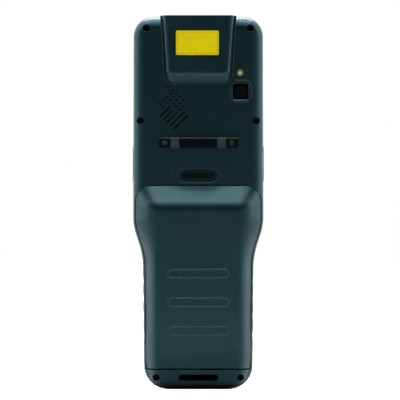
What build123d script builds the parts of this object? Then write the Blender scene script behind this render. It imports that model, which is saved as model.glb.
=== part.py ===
from build123d import *
import math
import os

# A portable barcode data terminal. Millimetres. X runs across it, Y from its
# front face (-) to its back (+), and Z up its length from its flat foot.

# ------------------------------------------------------------ plan outline
LENGTH = 201.0
SHOULDER_HALF_WIDTH = 35.25
TOP_TAPER = 0.3
GRIP_STEP = 5.2
FOOT_TAPER = 0.7
TOP_HALF_WIDTH = SHOULDER_HALF_WIDTH - TOP_TAPER
GRIP_HALF_WIDTH = SHOULDER_HALF_WIDTH - GRIP_STEP
FOOT_HALF_WIDTH = GRIP_HALF_WIDTH - FOOT_TAPER
HEAD_LENGTH = 91.5
HEAD_LOW_Z = LENGTH - HEAD_LENGTH
FLARE_HIGH_Z = HEAD_LOW_Z - 21.0
FLARE_LOW_Z = FLARE_HIGH_Z - 16.4
FOOT_CORNER_R = 12.5
FLARE_LOW_R = 37.0
FLARE_HIGH_R = 30.0
TOP_CORNER_R = 10.8

# ------------------------------------------------------------------ depths
FRONT_Y = -13.2
PARTING_Y = FRONT_Y + 6.2
PARTING_GAP = 0.1
BACK_Y = 6.0
SEAM_Y = BACK_Y - 3.6
CREST_TOP_Y = BACK_Y + 8.1
CREST_FOOT_Y = BACK_Y + 4.8
FRONT_EDGE_R = 3.5
BACK_EDGE_R = 7.0
FRONT_WALL = 1.8
SIDE_WALL = 2.4
BACK_WALL = 2.4
CLEAR = 0.3
SLIP = 0.1

# -------------------------------------------------------------------- foot
BASE_HEIGHT = 2.6
SOLE_ROUND_Z = 0.2
SOLE_STEPS = 4

# ----------------------------------------------------------- battery cover
CHIN_TOP_Z = 10.5
CHIN_ROUND_R = 8.0
CHIN_STEPS = 4
COVER_LOW_Z = CHIN_TOP_Z + 0.7
COVER_TOP_Z = HEAD_LOW_Z
COVER_CORNER_R = 9.8
COVER_HALF_WIDTH = SHOULDER_HALF_WIDTH - 0.7
COVER_WALL = 2.0
COVER_SIDE_STEP = 1.25
CREST_TOP_Z = COVER_TOP_Z - 10.8
PLATEAU_HALF_WIDTH = SHOULDER_HALF_WIDTH - 14.65
SIDE_CURVE_WIDTH = 8.0
SIDE_LEAN = 29.0
SIDE_PULL = 0.36
STATION_BELOW_FOOT = 4.0
STATION_ABOVE_FOOT = 2.0
GRIP_STATIONS = 3
FLARE_STATIONS = 3
CREST_EDGE_R = 8.0
SLOPE_WIDENING = 3.2
COVER_GAP = 0.7
HEEL_R = 0.5
GRIP_MARK_WIDTH = 33.5
GRIP_MARK_HEIGHT = 5.3
GRIP_MARK_LINE = 0.8
GRIP_MARK_RISE = 0.4
GRIP_MARK_Z = 47.0
GRIP_MARK_PITCH = 15.4
GRIP_MARK_COUNT = 3
HOOK_X = GRIP_HALF_WIDTH - 15.05
HOOK_WIDTH = 6.0
HOOK_LOW_Z = CHIN_TOP_Z - 1.3
HOOK_LOW_Y = SEAM_Y + 1.2
HOOK_HIGH_Y = SEAM_Y + 3.6
HOOK_SWING = 1.3

# ------------------------------------------------------------ battery pack
BAY_HALF_WIDTH = GRIP_HALF_WIDTH - 7.25
BAY_LOW_Z = CHIN_TOP_Z + 3.1
BAY_TOP_Z = COVER_TOP_Z - 3.6
BAY_FLOOR_Y = PARTING_Y + 2.1
BAY_HEAD = 5.6
TRAY_WALL = 1.2
TRAY_SWING = 2.2
CELL_GAP = 0.8
CELL_ROOF_Y = BACK_Y + 0.9
CELL_EDGE_R = 3.0
PAD_COUNT = 4
PAD_PITCH = 3.0
PAD_WIDTH = 1.8
PAD_LOW_Y = BAY_FLOOR_Y + 1.3
PAD_HIGH_Y = BAY_FLOOR_Y + 4.1
PAD_THICK = 0.2
CONTACT_REACH = 0.6
CONTACT_MARGIN = 1.4
SEAL_INSET = 0.8
SEAL_WIDTH = 0.9
SEAL_CORNER_R = 1.0
SEAL_DEPTH = 0.8

# ------------------------------------------------------------------- latch
LATCH_Z = HEAD_LOW_Z + 5.6
LATCH_TRAVEL = 1.5
RECESS_WIDTH = 20.4
RECESS_HEIGHT = 6.6
RECESS_DEPTH = 2.2
KNOB_WIDTH = 17.0
KNOB_HEIGHT = 4.6
KNOB_RISE = 0.5
KNOB_RIBS = 7
KNOB_RIB_PITCH = 2.0
KNOB_RIB_R = 0.45
KNOB_RIB_LENGTH = 3.0
KNOB_EDGE_R = 0.6
STEM_WIDTH = 4.0
STEM_HEIGHT = 2.0
LATCH_ROOF = 2.4
BOLT_WIDTH = 9.0
BOLT_HEIGHT = 6.0
BOLT_THICK = 1.0
BOLT_CORNER_R = 1.0
LATCH_BAY_TOP_Z = HEAD_LOW_Z + 11.5

# ------------------------------------------------------------ strap bridge
BRIDGE_Z = HEAD_LOW_Z + 23.25
BRIDGE_HEIGHT = 5.7
BRIDGE_HALF_WIDTH = SHOULDER_HALF_WIDTH - 13.75
BRIDGE_FOOT_X = BRIDGE_HALF_WIDTH - 6.4
BRIDGE_TOP_X = BRIDGE_FOOT_X - 4.85
BRIDGE_FOOT_THICK = 1.5
BRIDGE_GAP = 4.4
BRIDGE_THICK = 1.5
BRIDGE_SCREW_X = BRIDGE_HALF_WIDTH - 3.5
BRIDGE_SCREW_R = 1.5
BRIDGE_SCREW_SINK = 0.7
BRIDGE_SCREW_RISE = 0.2
BRIDGE_EDGE_R = 0.4
STRAP_SLOT_WIDTH = 21.5
STRAP_SLOT_HEIGHT = 3.2
STRAP_SLOT_Z = 6.5
STRAP_TURN_Y = 2.0

# ------------------------------------------------------------------ screws
SCREW_TOP_X = SHOULDER_HALF_WIDTH - 7.2
SCREW_TOP_Z = LENGTH - 6.5
SCREW_MID_X = SHOULDER_HALF_WIDTH - 4.05
SCREW_MID_Z = LENGTH - 56.3
SCREW_LOW_X = FOOT_HALF_WIDTH - 6.75
SCREW_LOW_Z = 6.5
SCREW_WELL_R = 1.95
SCREW_HEAD_R = 1.6
SCREW_HEAD_HEIGHT = 1.3
SCREW_SHANK_R = 0.9
SCREW_SEAT_Y = BACK_Y - 4.8
SCREW_TIP_Y = FRONT_Y + 2.8
SCREW_DRIVE_R = 0.7
SCREW_DRIVE_DEPTH = 0.7
BOSS_WALL = 1.3
GASKET_INSET = 0.8
GASKET_WIDTH = 0.9
GASKET_HEIGHT = 1.0

# ------------------------------------------------------------ scanner hump
HUMP_TOP_Z = LENGTH + 0.2
HUMP_LOW_Z = HUMP_TOP_Z - 37.0
HUMP_TOP_HALF = SHOULDER_HALF_WIDTH - 14.65
HUMP_LOW_HALF = HUMP_TOP_HALF - 2.4
HUMP_CORNER_R = 5.4
HUMP_Y = BACK_Y + 5.8
HUMP_LIP = 0.9
HUMP_LIP_EDGE = 0.4
HUMP_INSET = 0.8
HUMP_SLOPE = 0.4
HUMP_WALL_Y = BACK_Y + 2.0
HUMP_FOOT_LIFT = 4.0
HUMP_FACE_CORNER_R = 3.6
HUMP_ROUND_R = 3.2
HUMP_GROOVE = 0.8
HUMP_GROOVE_DEPTH = 0.5
HUMP_ROOT_INSET = 1.6
HUMP_ROOT_Y = PARTING_Y + 1.5
HUMP_WALL = 1.8
WINDOW_HALF_WIDTH = HUMP_TOP_HALF - 6.0
WINDOW_LOW_Y = PARTING_Y + 5.0
WINDOW_HIGH_Y = HUMP_Y - 3.2
WINDOW_LEDGE = 1.0
WINDOW_THICK = 1.2
WINDOW_SINK = 0.2
WINDOW_CORNER_R = 0.6
ENGINE_HALF_WIDTH = WINDOW_HALF_WIDTH - 3.1
ENGINE_LOW_Z = HUMP_TOP_Z - 27.2
ENGINE_GAP = 0.7
ENGINE_LENS_X = 7.0 - ENGINE_HALF_WIDTH
ENGINE_LENS_R = 3.2
ENGINE_AIMER_X = ENGINE_HALF_WIDTH - 6.0
ENGINE_AIMER_R = 1.8
ENGINE_ROOM_SIDE = 1.3
ENGINE_ROOM_FOOT = 6.8
LABEL_X = 0.5
LABEL_Z = HUMP_TOP_Z - 14.8
LABEL_WIDTH = 23.0
LABEL_HEIGHT = 13.1
LABEL_CORNER_R = 0.8
LABEL_SINK = 0.2
LABEL_THICK = 0.4

# ---------------------------------------------------- camera, flash, sound
CAMERA_X = 12.5 - SHOULDER_HALF_WIDTH
CAMERA_Z = LENGTH - 40.6
CAMERA_BEZEL = 12.7
CAMERA_BEZEL_R = 4.5
CAMERA_BEZEL_RISE = 0.5
CAMERA_BEZEL_SINK = 1.0
CAMERA_BEZEL_EDGE = 0.3
CAMERA_BEZEL_RIM = 0.4
CAMERA_WINDOW = 8.5
CAMERA_WINDOW_R = 1.5
CAMERA_WINDOW_THICK = 0.9
CAMERA_WINDOW_SINK = 0.45
CAMERA_LENS_R = 2.6
CAMERA_BODY = 8.0
CAMERA_BODY_DEPTH = 4.4
FLASH_X = CAMERA_X + 0.25
FLASH_Z = CAMERA_Z + 10.0
FLASH_R = 1.75
FLASH_DEPTH = 3.2
FLASH_DOME = 0.4
GRILLE_X = SHOULDER_HALF_WIDTH - 21.85
GRILLE_TOP_Z = LENGTH - 39.9
GRILLE_PITCH = 2.48
GRILLE_DOT_R = 0.6
GRILLE_ROWS = 5
GRILLE_EXTRA_DOTS = ((4, 1), (2, 3), (1, 4), (2, 4))
GRILLE_SLOT_STARTS = (3.0, 3.0, 2.7, 1.6, 1.5)
GRILLE_SLOT_END = 6.0
GRILLE_SLOT_FIRST = 2
GRILLE_TURN = -45
SPEAKER_DROP = 10.3
SPEAKER_R = 9.0
SPEAKER_RIM = 1.2
SPEAKER_DEPTH = 4.6
SPEAKER_MAGNET_R = 6.3
MESH_WIDTH = 17.0
MESH_HEIGHT = 25.0
MESH_CORNER_R = 3.0
MESH_THICK = 0.3

# --------------------------------------------------------------- side keys
SIDE_KEY_Z = HEAD_LOW_Z + 12.0
SIDE_KEY_LENGTH = 19.4
SIDE_KEY_Y = PARTING_Y + 3.7
SIDE_KEY_DEPTH = 5.0
SIDE_KEY_THICK = 3.0
SIDE_KEY_PROUD = 0.25
SIDE_KEY_TRAVEL = 0.6
SIDE_SWITCH_THICK = 1.8
SIDE_SWITCH_DEPTH = 3.6
SIDE_SWITCH_LENGTH = 8.0
SIDE_BOARD_THICK = 0.6
SIDE_BOARD_MARGIN = 1.0
SCALLOP_Z = (58.0, 48.9, 39.4, 28.6)
SCALLOP_R = 18.0
SCALLOP_DEPTH = 0.25

# -------------------------------------------------------------- front keys
KEY_FACE_Y = FRONT_Y - 0.8
KEY_COLUMNS = 4
KEY_ROWS = 5
KEY_PITCH_X = (GRIP_HALF_WIDTH - 10.55) / 1.5
KEY_PITCH_Z = 11.6
KEY_WIDTH = KEY_PITCH_X - 1.8
KEY_HEIGHT = 8.6
KEY_CORNER_R = 2.2
KEY_EDGE_R = 0.5
KEY_LOW_Z = 16.6
KEY_TOP_ROW_Z = KEY_LOW_Z + KEY_ROWS * KEY_PITCH_Z + 4.8
KEY_TRAVEL = 0.8
SOFT_KEY_X = 1.5 * KEY_PITCH_X - 0.1
SOFT_KEY_WIDTH = KEY_WIDTH + 0.8
SCAN_KEY_WIDTH = 2 * SOFT_KEY_X - SOFT_KEY_WIDTH - 5.8
SCAN_KEY_HEIGHT = 12.4
SCAN_KEY_CORNER_R = 6.1
SOFT_KEY_HEIGHT = 9.0
MAT_THICK = 0.8
KEY_BOARD_THICK = 1.0
MAT_MARGIN = 3.6
MAT_FOOT = 1.0

# ------------------------------------------------------------ front pieces
GLASS_HALF_WIDTH = SHOULDER_HALF_WIDTH - 4.75
GLASS_LOW_Z = KEY_TOP_ROW_Z + 14.6
GLASS_TOP_Z = LENGTH - 7.0
GLASS_THICK = 1.2
GLASS_CORNER_R = 4.0
RIM_WIDTH = 1.8
RIM_RISE = 0.4
DISPLAY_HALF_WIDTH = GLASS_HALF_WIDTH - 3.0
DISPLAY_LOW_Z = GLASS_LOW_Z + 5.0
DISPLAY_TOP_Z = GLASS_TOP_Z - 5.0
DISPLAY_THICK = 3.1
DISPLAY_FRAME = 1.5
DISPLAY_CORNER_R = 1.0
BOARD_HALF_WIDTH = DISPLAY_HALF_WIDTH + 0.5
BOARD_LOW_Z = HEAD_LOW_Z + 3.5
BOARD_TOP_Z = DISPLAY_TOP_Z + 1.0
BOARD_THICK = 1.2
BOARD_CORNER_R = 1.5
SHIELD_HEIGHT = 1.8
SHIELD_CORNER_R = 0.8
SHIELD_PLANS = (
    (-15.5 / 28, 26.0, 19.0 / 28, 18.0),
    (0.5 / 28, 21.0, 7.0 / 28, 12.0),
    (-8.0 / 28, 45.0, 12.0 / 28, 12.0),
    (15.0 / 28, 20.0, 18.0 / 28, 18.0),
)
EARPIECE_WIDTH = 12.0
EARPIECE_HEIGHT = 1.4
EARPIECE_Z = GLASS_TOP_Z - 3.0
STATUS_X = GLASS_HALF_WIDTH - 6.5
STATUS_R = 1.0

# ---------------------------------------------------------- dock contacts
DOCK_COUNT = 6
DOCK_PITCH = 3.2
DOCK_WIDTH = 2.0
DOCK_DEPTH = 3.4
DOCK_Y = PARTING_Y + 2.0
DOCK_SINK = 0.15

FAR = 80.0


# --------------------------------------------------------------- helpers
def prism(shape, y_low, y_high):
    """A sketch drawn in (X, Z), made solid from y_low to y_high."""
    return extrude(Plane.XZ.offset(-y_high) * shape, amount=y_high - y_low)


def block(x_low, x_high, y_low, y_high, z_low, z_high):
    """A box between two corners."""
    size = (x_high - x_low, y_high - y_low, z_high - z_low)
    centre = ((x_low + x_high) / 2, (y_low + y_high) / 2, (z_low + z_high) / 2)
    return Pos(*centre) * Box(*size)


def slab(z_low, z_high):
    """Everything between two heights."""
    return block(-FAR, FAR, -FAR, FAR, z_low, z_high)


def post(x, z, radius, y_low, y_high):
    """A round rod along Y."""
    return prism(Pos(x, z) * Circle(radius), y_low, y_high)


def mirrored(shape):
    """The same shape on the other side of the middle plane."""
    return mirror(shape, about=Plane.YZ)


def both_sides(shape):
    return shape + mirrored(shape)


def grouped(solids):
    """Separate solids kept together in one node."""
    return Compound(children=[solid for part in solids for solid in part.solids()])


def round_rect(x, z, width, height, radius):
    return Pos(x, z) * RectangleRounded(width, height, radius)


def plan_outline(inset=0.0):
    """The terminal seen from the front: foot, grip, flare, shoulders."""
    side = [
        (FOOT_HALF_WIDTH, 0),
        (GRIP_HALF_WIDTH, FLARE_LOW_Z),
        (SHOULDER_HALF_WIDTH, FLARE_HIGH_Z),
        (TOP_HALF_WIDTH, LENGTH),
    ]
    radii = [FOOT_CORNER_R, FLARE_LOW_R, FLARE_HIGH_R, TOP_CORNER_R]
    other_side = [(-x, z) for x, z in reversed(side)]
    wire = FilletPolyline(*side, *other_side, radius=radii + radii[::-1], close=True)
    outline = make_face(wire)
    return offset(outline, amount=-inset) if inset else outline


OUTLINE = plan_outline()


def half_width_at(z):
    """Half the width of the plan outline at one height."""
    return (Line((0, z), (2 * SHOULDER_HALF_WIDTH, z)) & OUTLINE).length


def crest_at(z):
    """How far back the leaning flat of the grip stands at one height."""
    return CREST_FOOT_Y + (CREST_TOP_Y - CREST_FOOT_Y) * z / CREST_TOP_Z


# ------------------------------------------------- bulge of cover and chin
def bulge_section(z, plateau, crest, inset=0.0):
    """The bulge cut level at one height: a flat crest with rounded sides."""
    start_x = half_width_at(z) - COVER_SIDE_STEP - inset
    crest_y = crest - inset
    lean = math.radians(SIDE_LEAN)
    pull = SIDE_PULL * math.hypot(start_x - plateau, crest_y - SEAM_Y)
    start = (start_x, SEAM_Y)
    start_pull = (start_x - pull * math.sin(lean), SEAM_Y + pull * math.cos(lean))
    end_pull = (plateau + pull, crest_y)
    end = (plateau, crest_y)
    right = Bezier(start, start_pull, end_pull, end)
    left = Bezier(*[(-x, y) for x, y in (end, end_pull, start_pull, start)])
    low_y = PARTING_Y
    edges = [
        Line((start_x, low_y), start),
        right,
        Line(end, (-plateau, crest_y)),
        left,
        Line((-start_x, SEAM_Y), (-start_x, low_y)),
        Line((-start_x, low_y), (start_x, low_y)),
    ]
    return Pos(0, 0, z) * make_face(edges)


def grip_stations():
    """Heights at which the long part of the bulge is drawn."""
    step = (FLARE_HIGH_Z - FLARE_LOW_Z) / FLARE_STATIONS
    flare = [FLARE_LOW_Z + step * (i - 1) for i in range(FLARE_STATIONS + 3)]
    first = FOOT_CORNER_R + STATION_ABOVE_FOOT
    pitch = (flare[0] - first) / GRIP_STATIONS
    grip = [first + pitch * i for i in range(GRIP_STATIONS)]
    return [FOOT_CORNER_R - STATION_BELOW_FOOT, *grip, *flare, CREST_TOP_Z]


def grip_bulge(inset=0.0):
    """The bulge from the chin up to the crest, then sloped down to the back."""
    long_part = loft(
        [
            bulge_section(z, chin_plateau_at(z), crest_at(z), inset)
            for z in grip_stations()
        ]
    )
    slope = loft(
        [
            bulge_section(CREST_TOP_Z, PLATEAU_HALF_WIDTH, crest_at(CREST_TOP_Z), inset),
            bulge_section(COVER_TOP_Z, slope_half_width(), BACK_Y, inset),
        ],
        ruled=True,
    )
    return long_part + slope


def slope_half_width():
    """Half the width of the flat of the cover's slope at its top edge."""
    return PLATEAU_HALF_WIDTH + SLOPE_WIDENING


def chin_plateau_at(z):
    side = half_width_at(z) - COVER_SIDE_STEP
    return min(PLATEAU_HALF_WIDTH, side - SIDE_CURVE_WIDTH)


def chin_drop_at(z):
    """How far the rounded chin falls in at one height near the foot."""
    rise = min(z, CHIN_ROUND_R)
    return CHIN_ROUND_R - math.sqrt(CHIN_ROUND_R**2 - (CHIN_ROUND_R - rise) ** 2)


def chin_section(z):
    """The rounded chin cut level at one height."""
    return bulge_section(z, chin_plateau_at(z), crest_at(z) - chin_drop_at(z))


def chin_bulge():
    """The bulge below the cover, rounded in towards the foot."""
    step = (CHIN_TOP_Z - BASE_HEIGHT) / CHIN_STEPS
    return loft([chin_section(BASE_HEIGHT + step * i) for i in range(CHIN_STEPS + 1)])


def sole_bulge():
    """The last of the chin's rounding, down to a flat sole."""
    step = (BASE_HEIGHT - SOLE_ROUND_Z) / SOLE_STEPS
    heights = [SOLE_ROUND_Z + step * i for i in range(SOLE_STEPS + 1)]
    sole = extrude(chin_section(SOLE_ROUND_Z), amount=-SOLE_ROUND_Z)
    return loft([chin_section(z) for z in heights]) + sole


def cover_plan(grow=0.0):
    """The cover's outline from behind: round upper corners, square foot."""
    top = COVER_TOP_Z + grow
    low = COVER_LOW_Z - grow
    half = COVER_HALF_WIDTH
    corners = [(half, low), (half, top), (-half, top), (-half, low)]
    radius = COVER_CORNER_R + grow
    wire = FilletPolyline(*corners, radius=[0, radius, radius, 0], close=True)
    return make_face(wire)


# ------------------------------------------------------------ screw places
def screw_places():
    """(X, Z) of the six housing screws."""
    right = [
        (SCREW_TOP_X, SCREW_TOP_Z),
        (SCREW_MID_X, SCREW_MID_Z),
        (SCREW_LOW_X, SCREW_LOW_Z),
    ]
    return right + [(-x, z) for x, z in right]


def upper_screw_places():
    return [(x, z) for x, z in screw_places() if z > COVER_TOP_Z]


# -------------------------------------------------------------- front keys
def key_places():
    """(name, X, Z, width, height, corner radius) of every front key."""
    places = [
        ("scan_key_front", 0, KEY_TOP_ROW_Z, SCAN_KEY_WIDTH, SCAN_KEY_HEIGHT,
         SCAN_KEY_CORNER_R),
        ("soft_key_left", -SOFT_KEY_X, KEY_TOP_ROW_Z, SOFT_KEY_WIDTH, SOFT_KEY_HEIGHT,
         KEY_CORNER_R),
        ("soft_key_right", SOFT_KEY_X, KEY_TOP_ROW_Z, SOFT_KEY_WIDTH, SOFT_KEY_HEIGHT,
         KEY_CORNER_R),
    ]
    for row in range(KEY_ROWS):
        for column in range(KEY_COLUMNS):
            x = (column - (KEY_COLUMNS - 1) / 2) * KEY_PITCH_X
            z = KEY_LOW_Z + (KEY_ROWS - 1 - row) * KEY_PITCH_Z
            name = f"key_row{row + 1}_col{column + 1}"
            places.append((name, x, z, KEY_WIDTH, KEY_HEIGHT, KEY_CORNER_R))
    return places


def key_bottom_y():
    return FRONT_Y + FRONT_WALL - CLEAR


def front_key(x, z, width, height, radius):
    """One key: a rounded block that stands a little above the front."""
    body = prism(round_rect(x, z, width, height, radius), KEY_FACE_Y, key_bottom_y())
    face_edges = body.edges().filter_by_position(Axis.Y, KEY_FACE_Y, KEY_FACE_Y)
    return fillet(face_edges, KEY_EDGE_R)


# -------------------------------------------------------------- front half
def front_inner_y():
    return FRONT_Y + FRONT_WALL


def glass_plan(grow=0.0):
    height = GLASS_TOP_Z - GLASS_LOW_Z
    middle = (GLASS_TOP_Z + GLASS_LOW_Z) / 2
    return round_rect(0, middle, 2 * (GLASS_HALF_WIDTH + grow), height + 2 * grow,
                      GLASS_CORNER_R + grow)


def make_front_housing():
    """The front half: a shallow tray with the screen and key openings."""
    inner_y = front_inner_y()
    back_y = PARTING_Y - PARTING_GAP / 2
    shell = prism(OUTLINE, FRONT_Y, back_y)
    shell = fillet(shell.edges().filter_by_position(Axis.Y, FRONT_Y, FRONT_Y), FRONT_EDGE_R)
    shell = shell & slab(BASE_HEIGHT, LENGTH)
    hollow = prism(plan_outline(SIDE_WALL), inner_y, back_y) & slab(CHIN_TOP_Z, LENGTH)
    shell -= hollow
    for x, z in upper_screw_places():
        boss = post(x, z, SCREW_SHANK_R + BOSS_WALL, FRONT_Y + GLASS_THICK, back_y)
        shell += boss & prism(plan_outline(SIDE_WALL / 2), FRONT_Y, back_y)
    shell += prism(glass_plan(RIM_WIDTH) - glass_plan(SLIP), FRONT_Y - RIM_RISE, FRONT_Y)
    shell -= prism(glass_plan(SLIP), FRONT_Y - RIM_RISE, FRONT_Y + GLASS_THICK + SLIP)
    shell -= display_opening()
    for _, x, z, width, height, radius in key_places():
        hole = round_rect(x, z, width + 2 * CLEAR, height + 2 * CLEAR, radius + CLEAR)
        shell -= prism(hole, FRONT_Y - RIM_RISE, inner_y)
    for x, z in screw_places():
        shell -= post(x, z, SCREW_SHANK_R, SCREW_TIP_Y - CLEAR, back_y)
    shell -= seal_ring()
    return cut_scallops(shell)


def display_opening():
    half = DISPLAY_HALF_WIDTH - DISPLAY_FRAME
    return block(-half, half, FRONT_Y, front_inner_y() + SLIP,
                 DISPLAY_LOW_Z + DISPLAY_FRAME, DISPLAY_TOP_Z - DISPLAY_FRAME)


def make_touch_glass():
    glass = prism(glass_plan(), FRONT_Y, FRONT_Y + GLASS_THICK)
    glass -= earpiece_slot(FRONT_Y, FRONT_Y + GLASS_THICK)
    glass -= post(STATUS_X, EARPIECE_Z, STATUS_R + SLIP, FRONT_Y, FRONT_Y + GLASS_THICK)
    return glass


def earpiece_slot(y_low, y_high, grow=0.0):
    width = EARPIECE_WIDTH + 2 * grow
    height = EARPIECE_HEIGHT + 2 * grow
    return prism(Pos(0, EARPIECE_Z) * SlotOverall(width, height), y_low, y_high)


def make_earpiece_mesh():
    """A sunk mesh in the slot of the glass, standing on the front wall."""
    return earpiece_slot(FRONT_Y + CLEAR, FRONT_Y + GLASS_THICK, -SLIP / 2)


def make_status_light():
    return post(STATUS_X, EARPIECE_Z, STATUS_R, FRONT_Y, FRONT_Y + GLASS_THICK)


def display_back_y():
    return front_inner_y() + SLIP + DISPLAY_THICK


def make_display_module():
    module = block(-DISPLAY_HALF_WIDTH, DISPLAY_HALF_WIDTH, front_inner_y() + SLIP,
                   display_back_y(), DISPLAY_LOW_Z, DISPLAY_TOP_Z)
    return fillet(module.edges().filter_by(Axis.Y), DISPLAY_CORNER_R)


def board_front_y():
    return display_back_y() + SLIP


def make_main_board():
    board = block(-BOARD_HALF_WIDTH, BOARD_HALF_WIDTH, board_front_y(),
                  board_front_y() + BOARD_THICK, BOARD_LOW_Z, BOARD_TOP_Z)
    return fillet(board.edges().filter_by(Axis.Y), BOARD_CORNER_R)


def make_board_shields():
    """Metal cans over the processor, memory and radio.

    Each plan gives X and width in half widths of the board, and Z from its
    lower edge.
    """
    low = board_front_y() + BOARD_THICK
    high = low + SHIELD_HEIGHT
    cans = []
    for across, up, wide, height in SHIELD_PLANS:
        plan = round_rect(across * BOARD_HALF_WIDTH, BOARD_LOW_Z + up,
                          wide * BOARD_HALF_WIDTH, height, SHIELD_CORNER_R)
        cans.append(prism(plan, low, high))
    return grouped(cans)


def mat_low_y():
    return key_bottom_y() + KEY_TRAVEL + SLIP


def mat_plan():
    top = KEY_TOP_ROW_Z + SCAN_KEY_HEIGHT / 2
    low = CHIN_TOP_Z + MAT_FOOT
    band = Pos(0, (top + low) / 2) * Rectangle(2 * FAR, top - low)
    return plan_outline(MAT_MARGIN) & band


def make_keypad_mat():
    return prism(mat_plan(), mat_low_y(), mat_low_y() + MAT_THICK)


def make_keypad_board():
    low = mat_low_y() + MAT_THICK + SLIP
    return prism(mat_plan(), low, low + KEY_BOARD_THICK)


# --------------------------------------------------------------- rear half
def rear_outer():
    """The rear half's outer shape, with its long rounded back edge."""
    shell = prism(OUTLINE, PARTING_Y + PARTING_GAP / 2, BACK_Y)
    shell = fillet(shell.edges().filter_by_position(Axis.Y, BACK_Y, BACK_Y), BACK_EDGE_R)
    shell = shell & slab(BASE_HEIGHT, LENGTH)
    above_seam = prism(cover_plan(COVER_GAP), SEAM_Y, FAR)
    chin_room = block(-FAR, FAR, SEAM_Y, FAR, CHIN_TOP_Z, COVER_LOW_Z)
    return shell - above_seam - chin_room + chin_bulge()


def rear_hollow():
    """Room for the boards above the battery bay."""
    low = PARTING_Y
    roof = BACK_Y - BACK_WALL
    room = prism(plan_outline(SIDE_WALL), low, roof)
    inner_r = BACK_EDGE_R - SIDE_WALL
    room = fillet(room.edges().filter_by_position(Axis.Y, roof, roof), inner_r)
    upper = room & slab(LATCH_BAY_TOP_Z, LENGTH)
    latch_roof = BACK_Y - RECESS_DEPTH - LATCH_ROOF
    lower = prism(plan_outline(SIDE_WALL), low, latch_roof)
    lower = lower & slab(bay_head_top(), LATCH_BAY_TOP_Z)
    return upper + lower


def bay_head_top():
    return BAY_TOP_Z + BAY_HEAD


def battery_bay():
    return block(-BAY_HALF_WIDTH, BAY_HALF_WIDTH, BAY_FLOOR_Y, SEAM_Y, BAY_LOW_Z, BAY_TOP_Z)


def make_rear_housing():
    shell = rear_outer() - rear_hollow() - battery_bay()
    for x, z in upper_screw_places():
        column = post(x, z, SCREW_WELL_R + BOSS_WALL, PARTING_Y + PARTING_GAP / 2, BACK_Y)
        shell += column & rear_outer()
    shell = cut_screw_wells(shell)
    shell -= hump_root_plan_solid(SLIP)
    shell -= camera_pocket()
    shell -= post(FLASH_X, FLASH_Z, FLASH_R + SLIP / 2, PARTING_Y, BACK_Y)
    shell -= speaker_holes()
    shell -= latch_cuts()
    shell -= contact_pocket()
    shell -= hook_pockets()
    shell -= strap_channel()
    shell -= seal_groove()
    shell -= both_sides(side_key_shape(CLEAR, SIDE_KEY_TRAVEL))
    shell -= bridge_screw_holes()
    shell -= seal_ring()
    return cut_scallops(shell)


def cut_screw_wells(shell):
    for x, z in screw_places():
        shell -= post(x, z, SCREW_WELL_R, SCREW_SEAT_Y, FAR)
        shell -= post(x, z, SCREW_SHANK_R, PARTING_Y, SCREW_SEAT_Y)
    return shell


def make_housing_screws():
    """Six screws that hold the halves together, each in its well."""
    screws = []
    shank_r = SCREW_SHANK_R - SLIP / 2
    for x, z in screw_places():
        head = post(x, z, SCREW_HEAD_R, SCREW_SEAT_Y, SCREW_SEAT_Y + SCREW_HEAD_HEIGHT)
        drive_low = SCREW_SEAT_Y + SCREW_HEAD_HEIGHT - SCREW_DRIVE_DEPTH
        drive = prism(Pos(x, z) * RegularPolygon(SCREW_DRIVE_R, 6), drive_low, BACK_Y)
        shank = post(x, z, shank_r, SCREW_TIP_Y, SCREW_SEAT_Y)
        screws.append(head - drive + shank)
    return grouped(screws)


def seal_ring(shrink=0.0):
    """A gasket at the parting line, in a groove of each half."""
    outer = plan_outline(GASKET_INSET + shrink)
    inner = plan_outline(GASKET_INSET + GASKET_WIDTH - shrink)
    half = GASKET_HEIGHT / 2 - shrink
    ring = prism(outer - inner, PARTING_Y - half, PARTING_Y + half)
    return ring & slab(BASE_HEIGHT + shrink, LENGTH)


def make_housing_seal():
    return seal_ring(SLIP / 2)


def cut_scallops(shell):
    """Four shallow finger hollows down each side of the grip."""
    for z in SCALLOP_Z:
        centre_x = half_width_at(z) + SCALLOP_R - SCALLOP_DEPTH
        shell -= both_sides(post(centre_x, z, SCALLOP_R, -FAR, FAR))
    return shell


# -------------------------------------------------------------------- foot
def strap_channel():
    """The slot in the chin, which turns down and out through the foot."""
    depth = STRAP_SLOT_HEIGHT
    turn_low = STRAP_TURN_Y - depth / 2
    mouth = prism(Pos(0, STRAP_SLOT_Z) * SlotOverall(STRAP_SLOT_WIDTH, depth), turn_low, FAR)
    drop = Pos(0, STRAP_TURN_Y) * SlotOverall(STRAP_SLOT_WIDTH, depth)
    return mouth + extrude(drop, amount=STRAP_SLOT_Z)


def dock_pads(grow=0.0):
    pads = []
    for i in range(DOCK_COUNT):
        x = (i - (DOCK_COUNT - 1) / 2) * DOCK_PITCH
        half = DOCK_WIDTH / 2 + grow
        reach = DOCK_DEPTH / 2 + grow
        low = DOCK_SINK if not grow else 0
        pads.append(block(x - half, x + half, DOCK_Y - reach, DOCK_Y + reach, low,
                          BASE_HEIGHT - SLIP))
    return pads


def make_base_cap():
    """The foot, which ends both halves and holds the charging contacts."""
    cap = prism(OUTLINE, FRONT_Y, BACK_Y)
    cap = fillet(cap.edges().filter_by_position(Axis.Y, FRONT_Y, FRONT_Y), FRONT_EDGE_R)
    cap = fillet(cap.edges().filter_by_position(Axis.Y, BACK_Y, BACK_Y), BACK_EDGE_R)
    cap = (cap & slab(0, BASE_HEIGHT)) + sole_bulge()
    cap -= strap_channel()
    for pad in dock_pads(SLIP / 2):
        cap -= pad
    return cap


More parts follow.
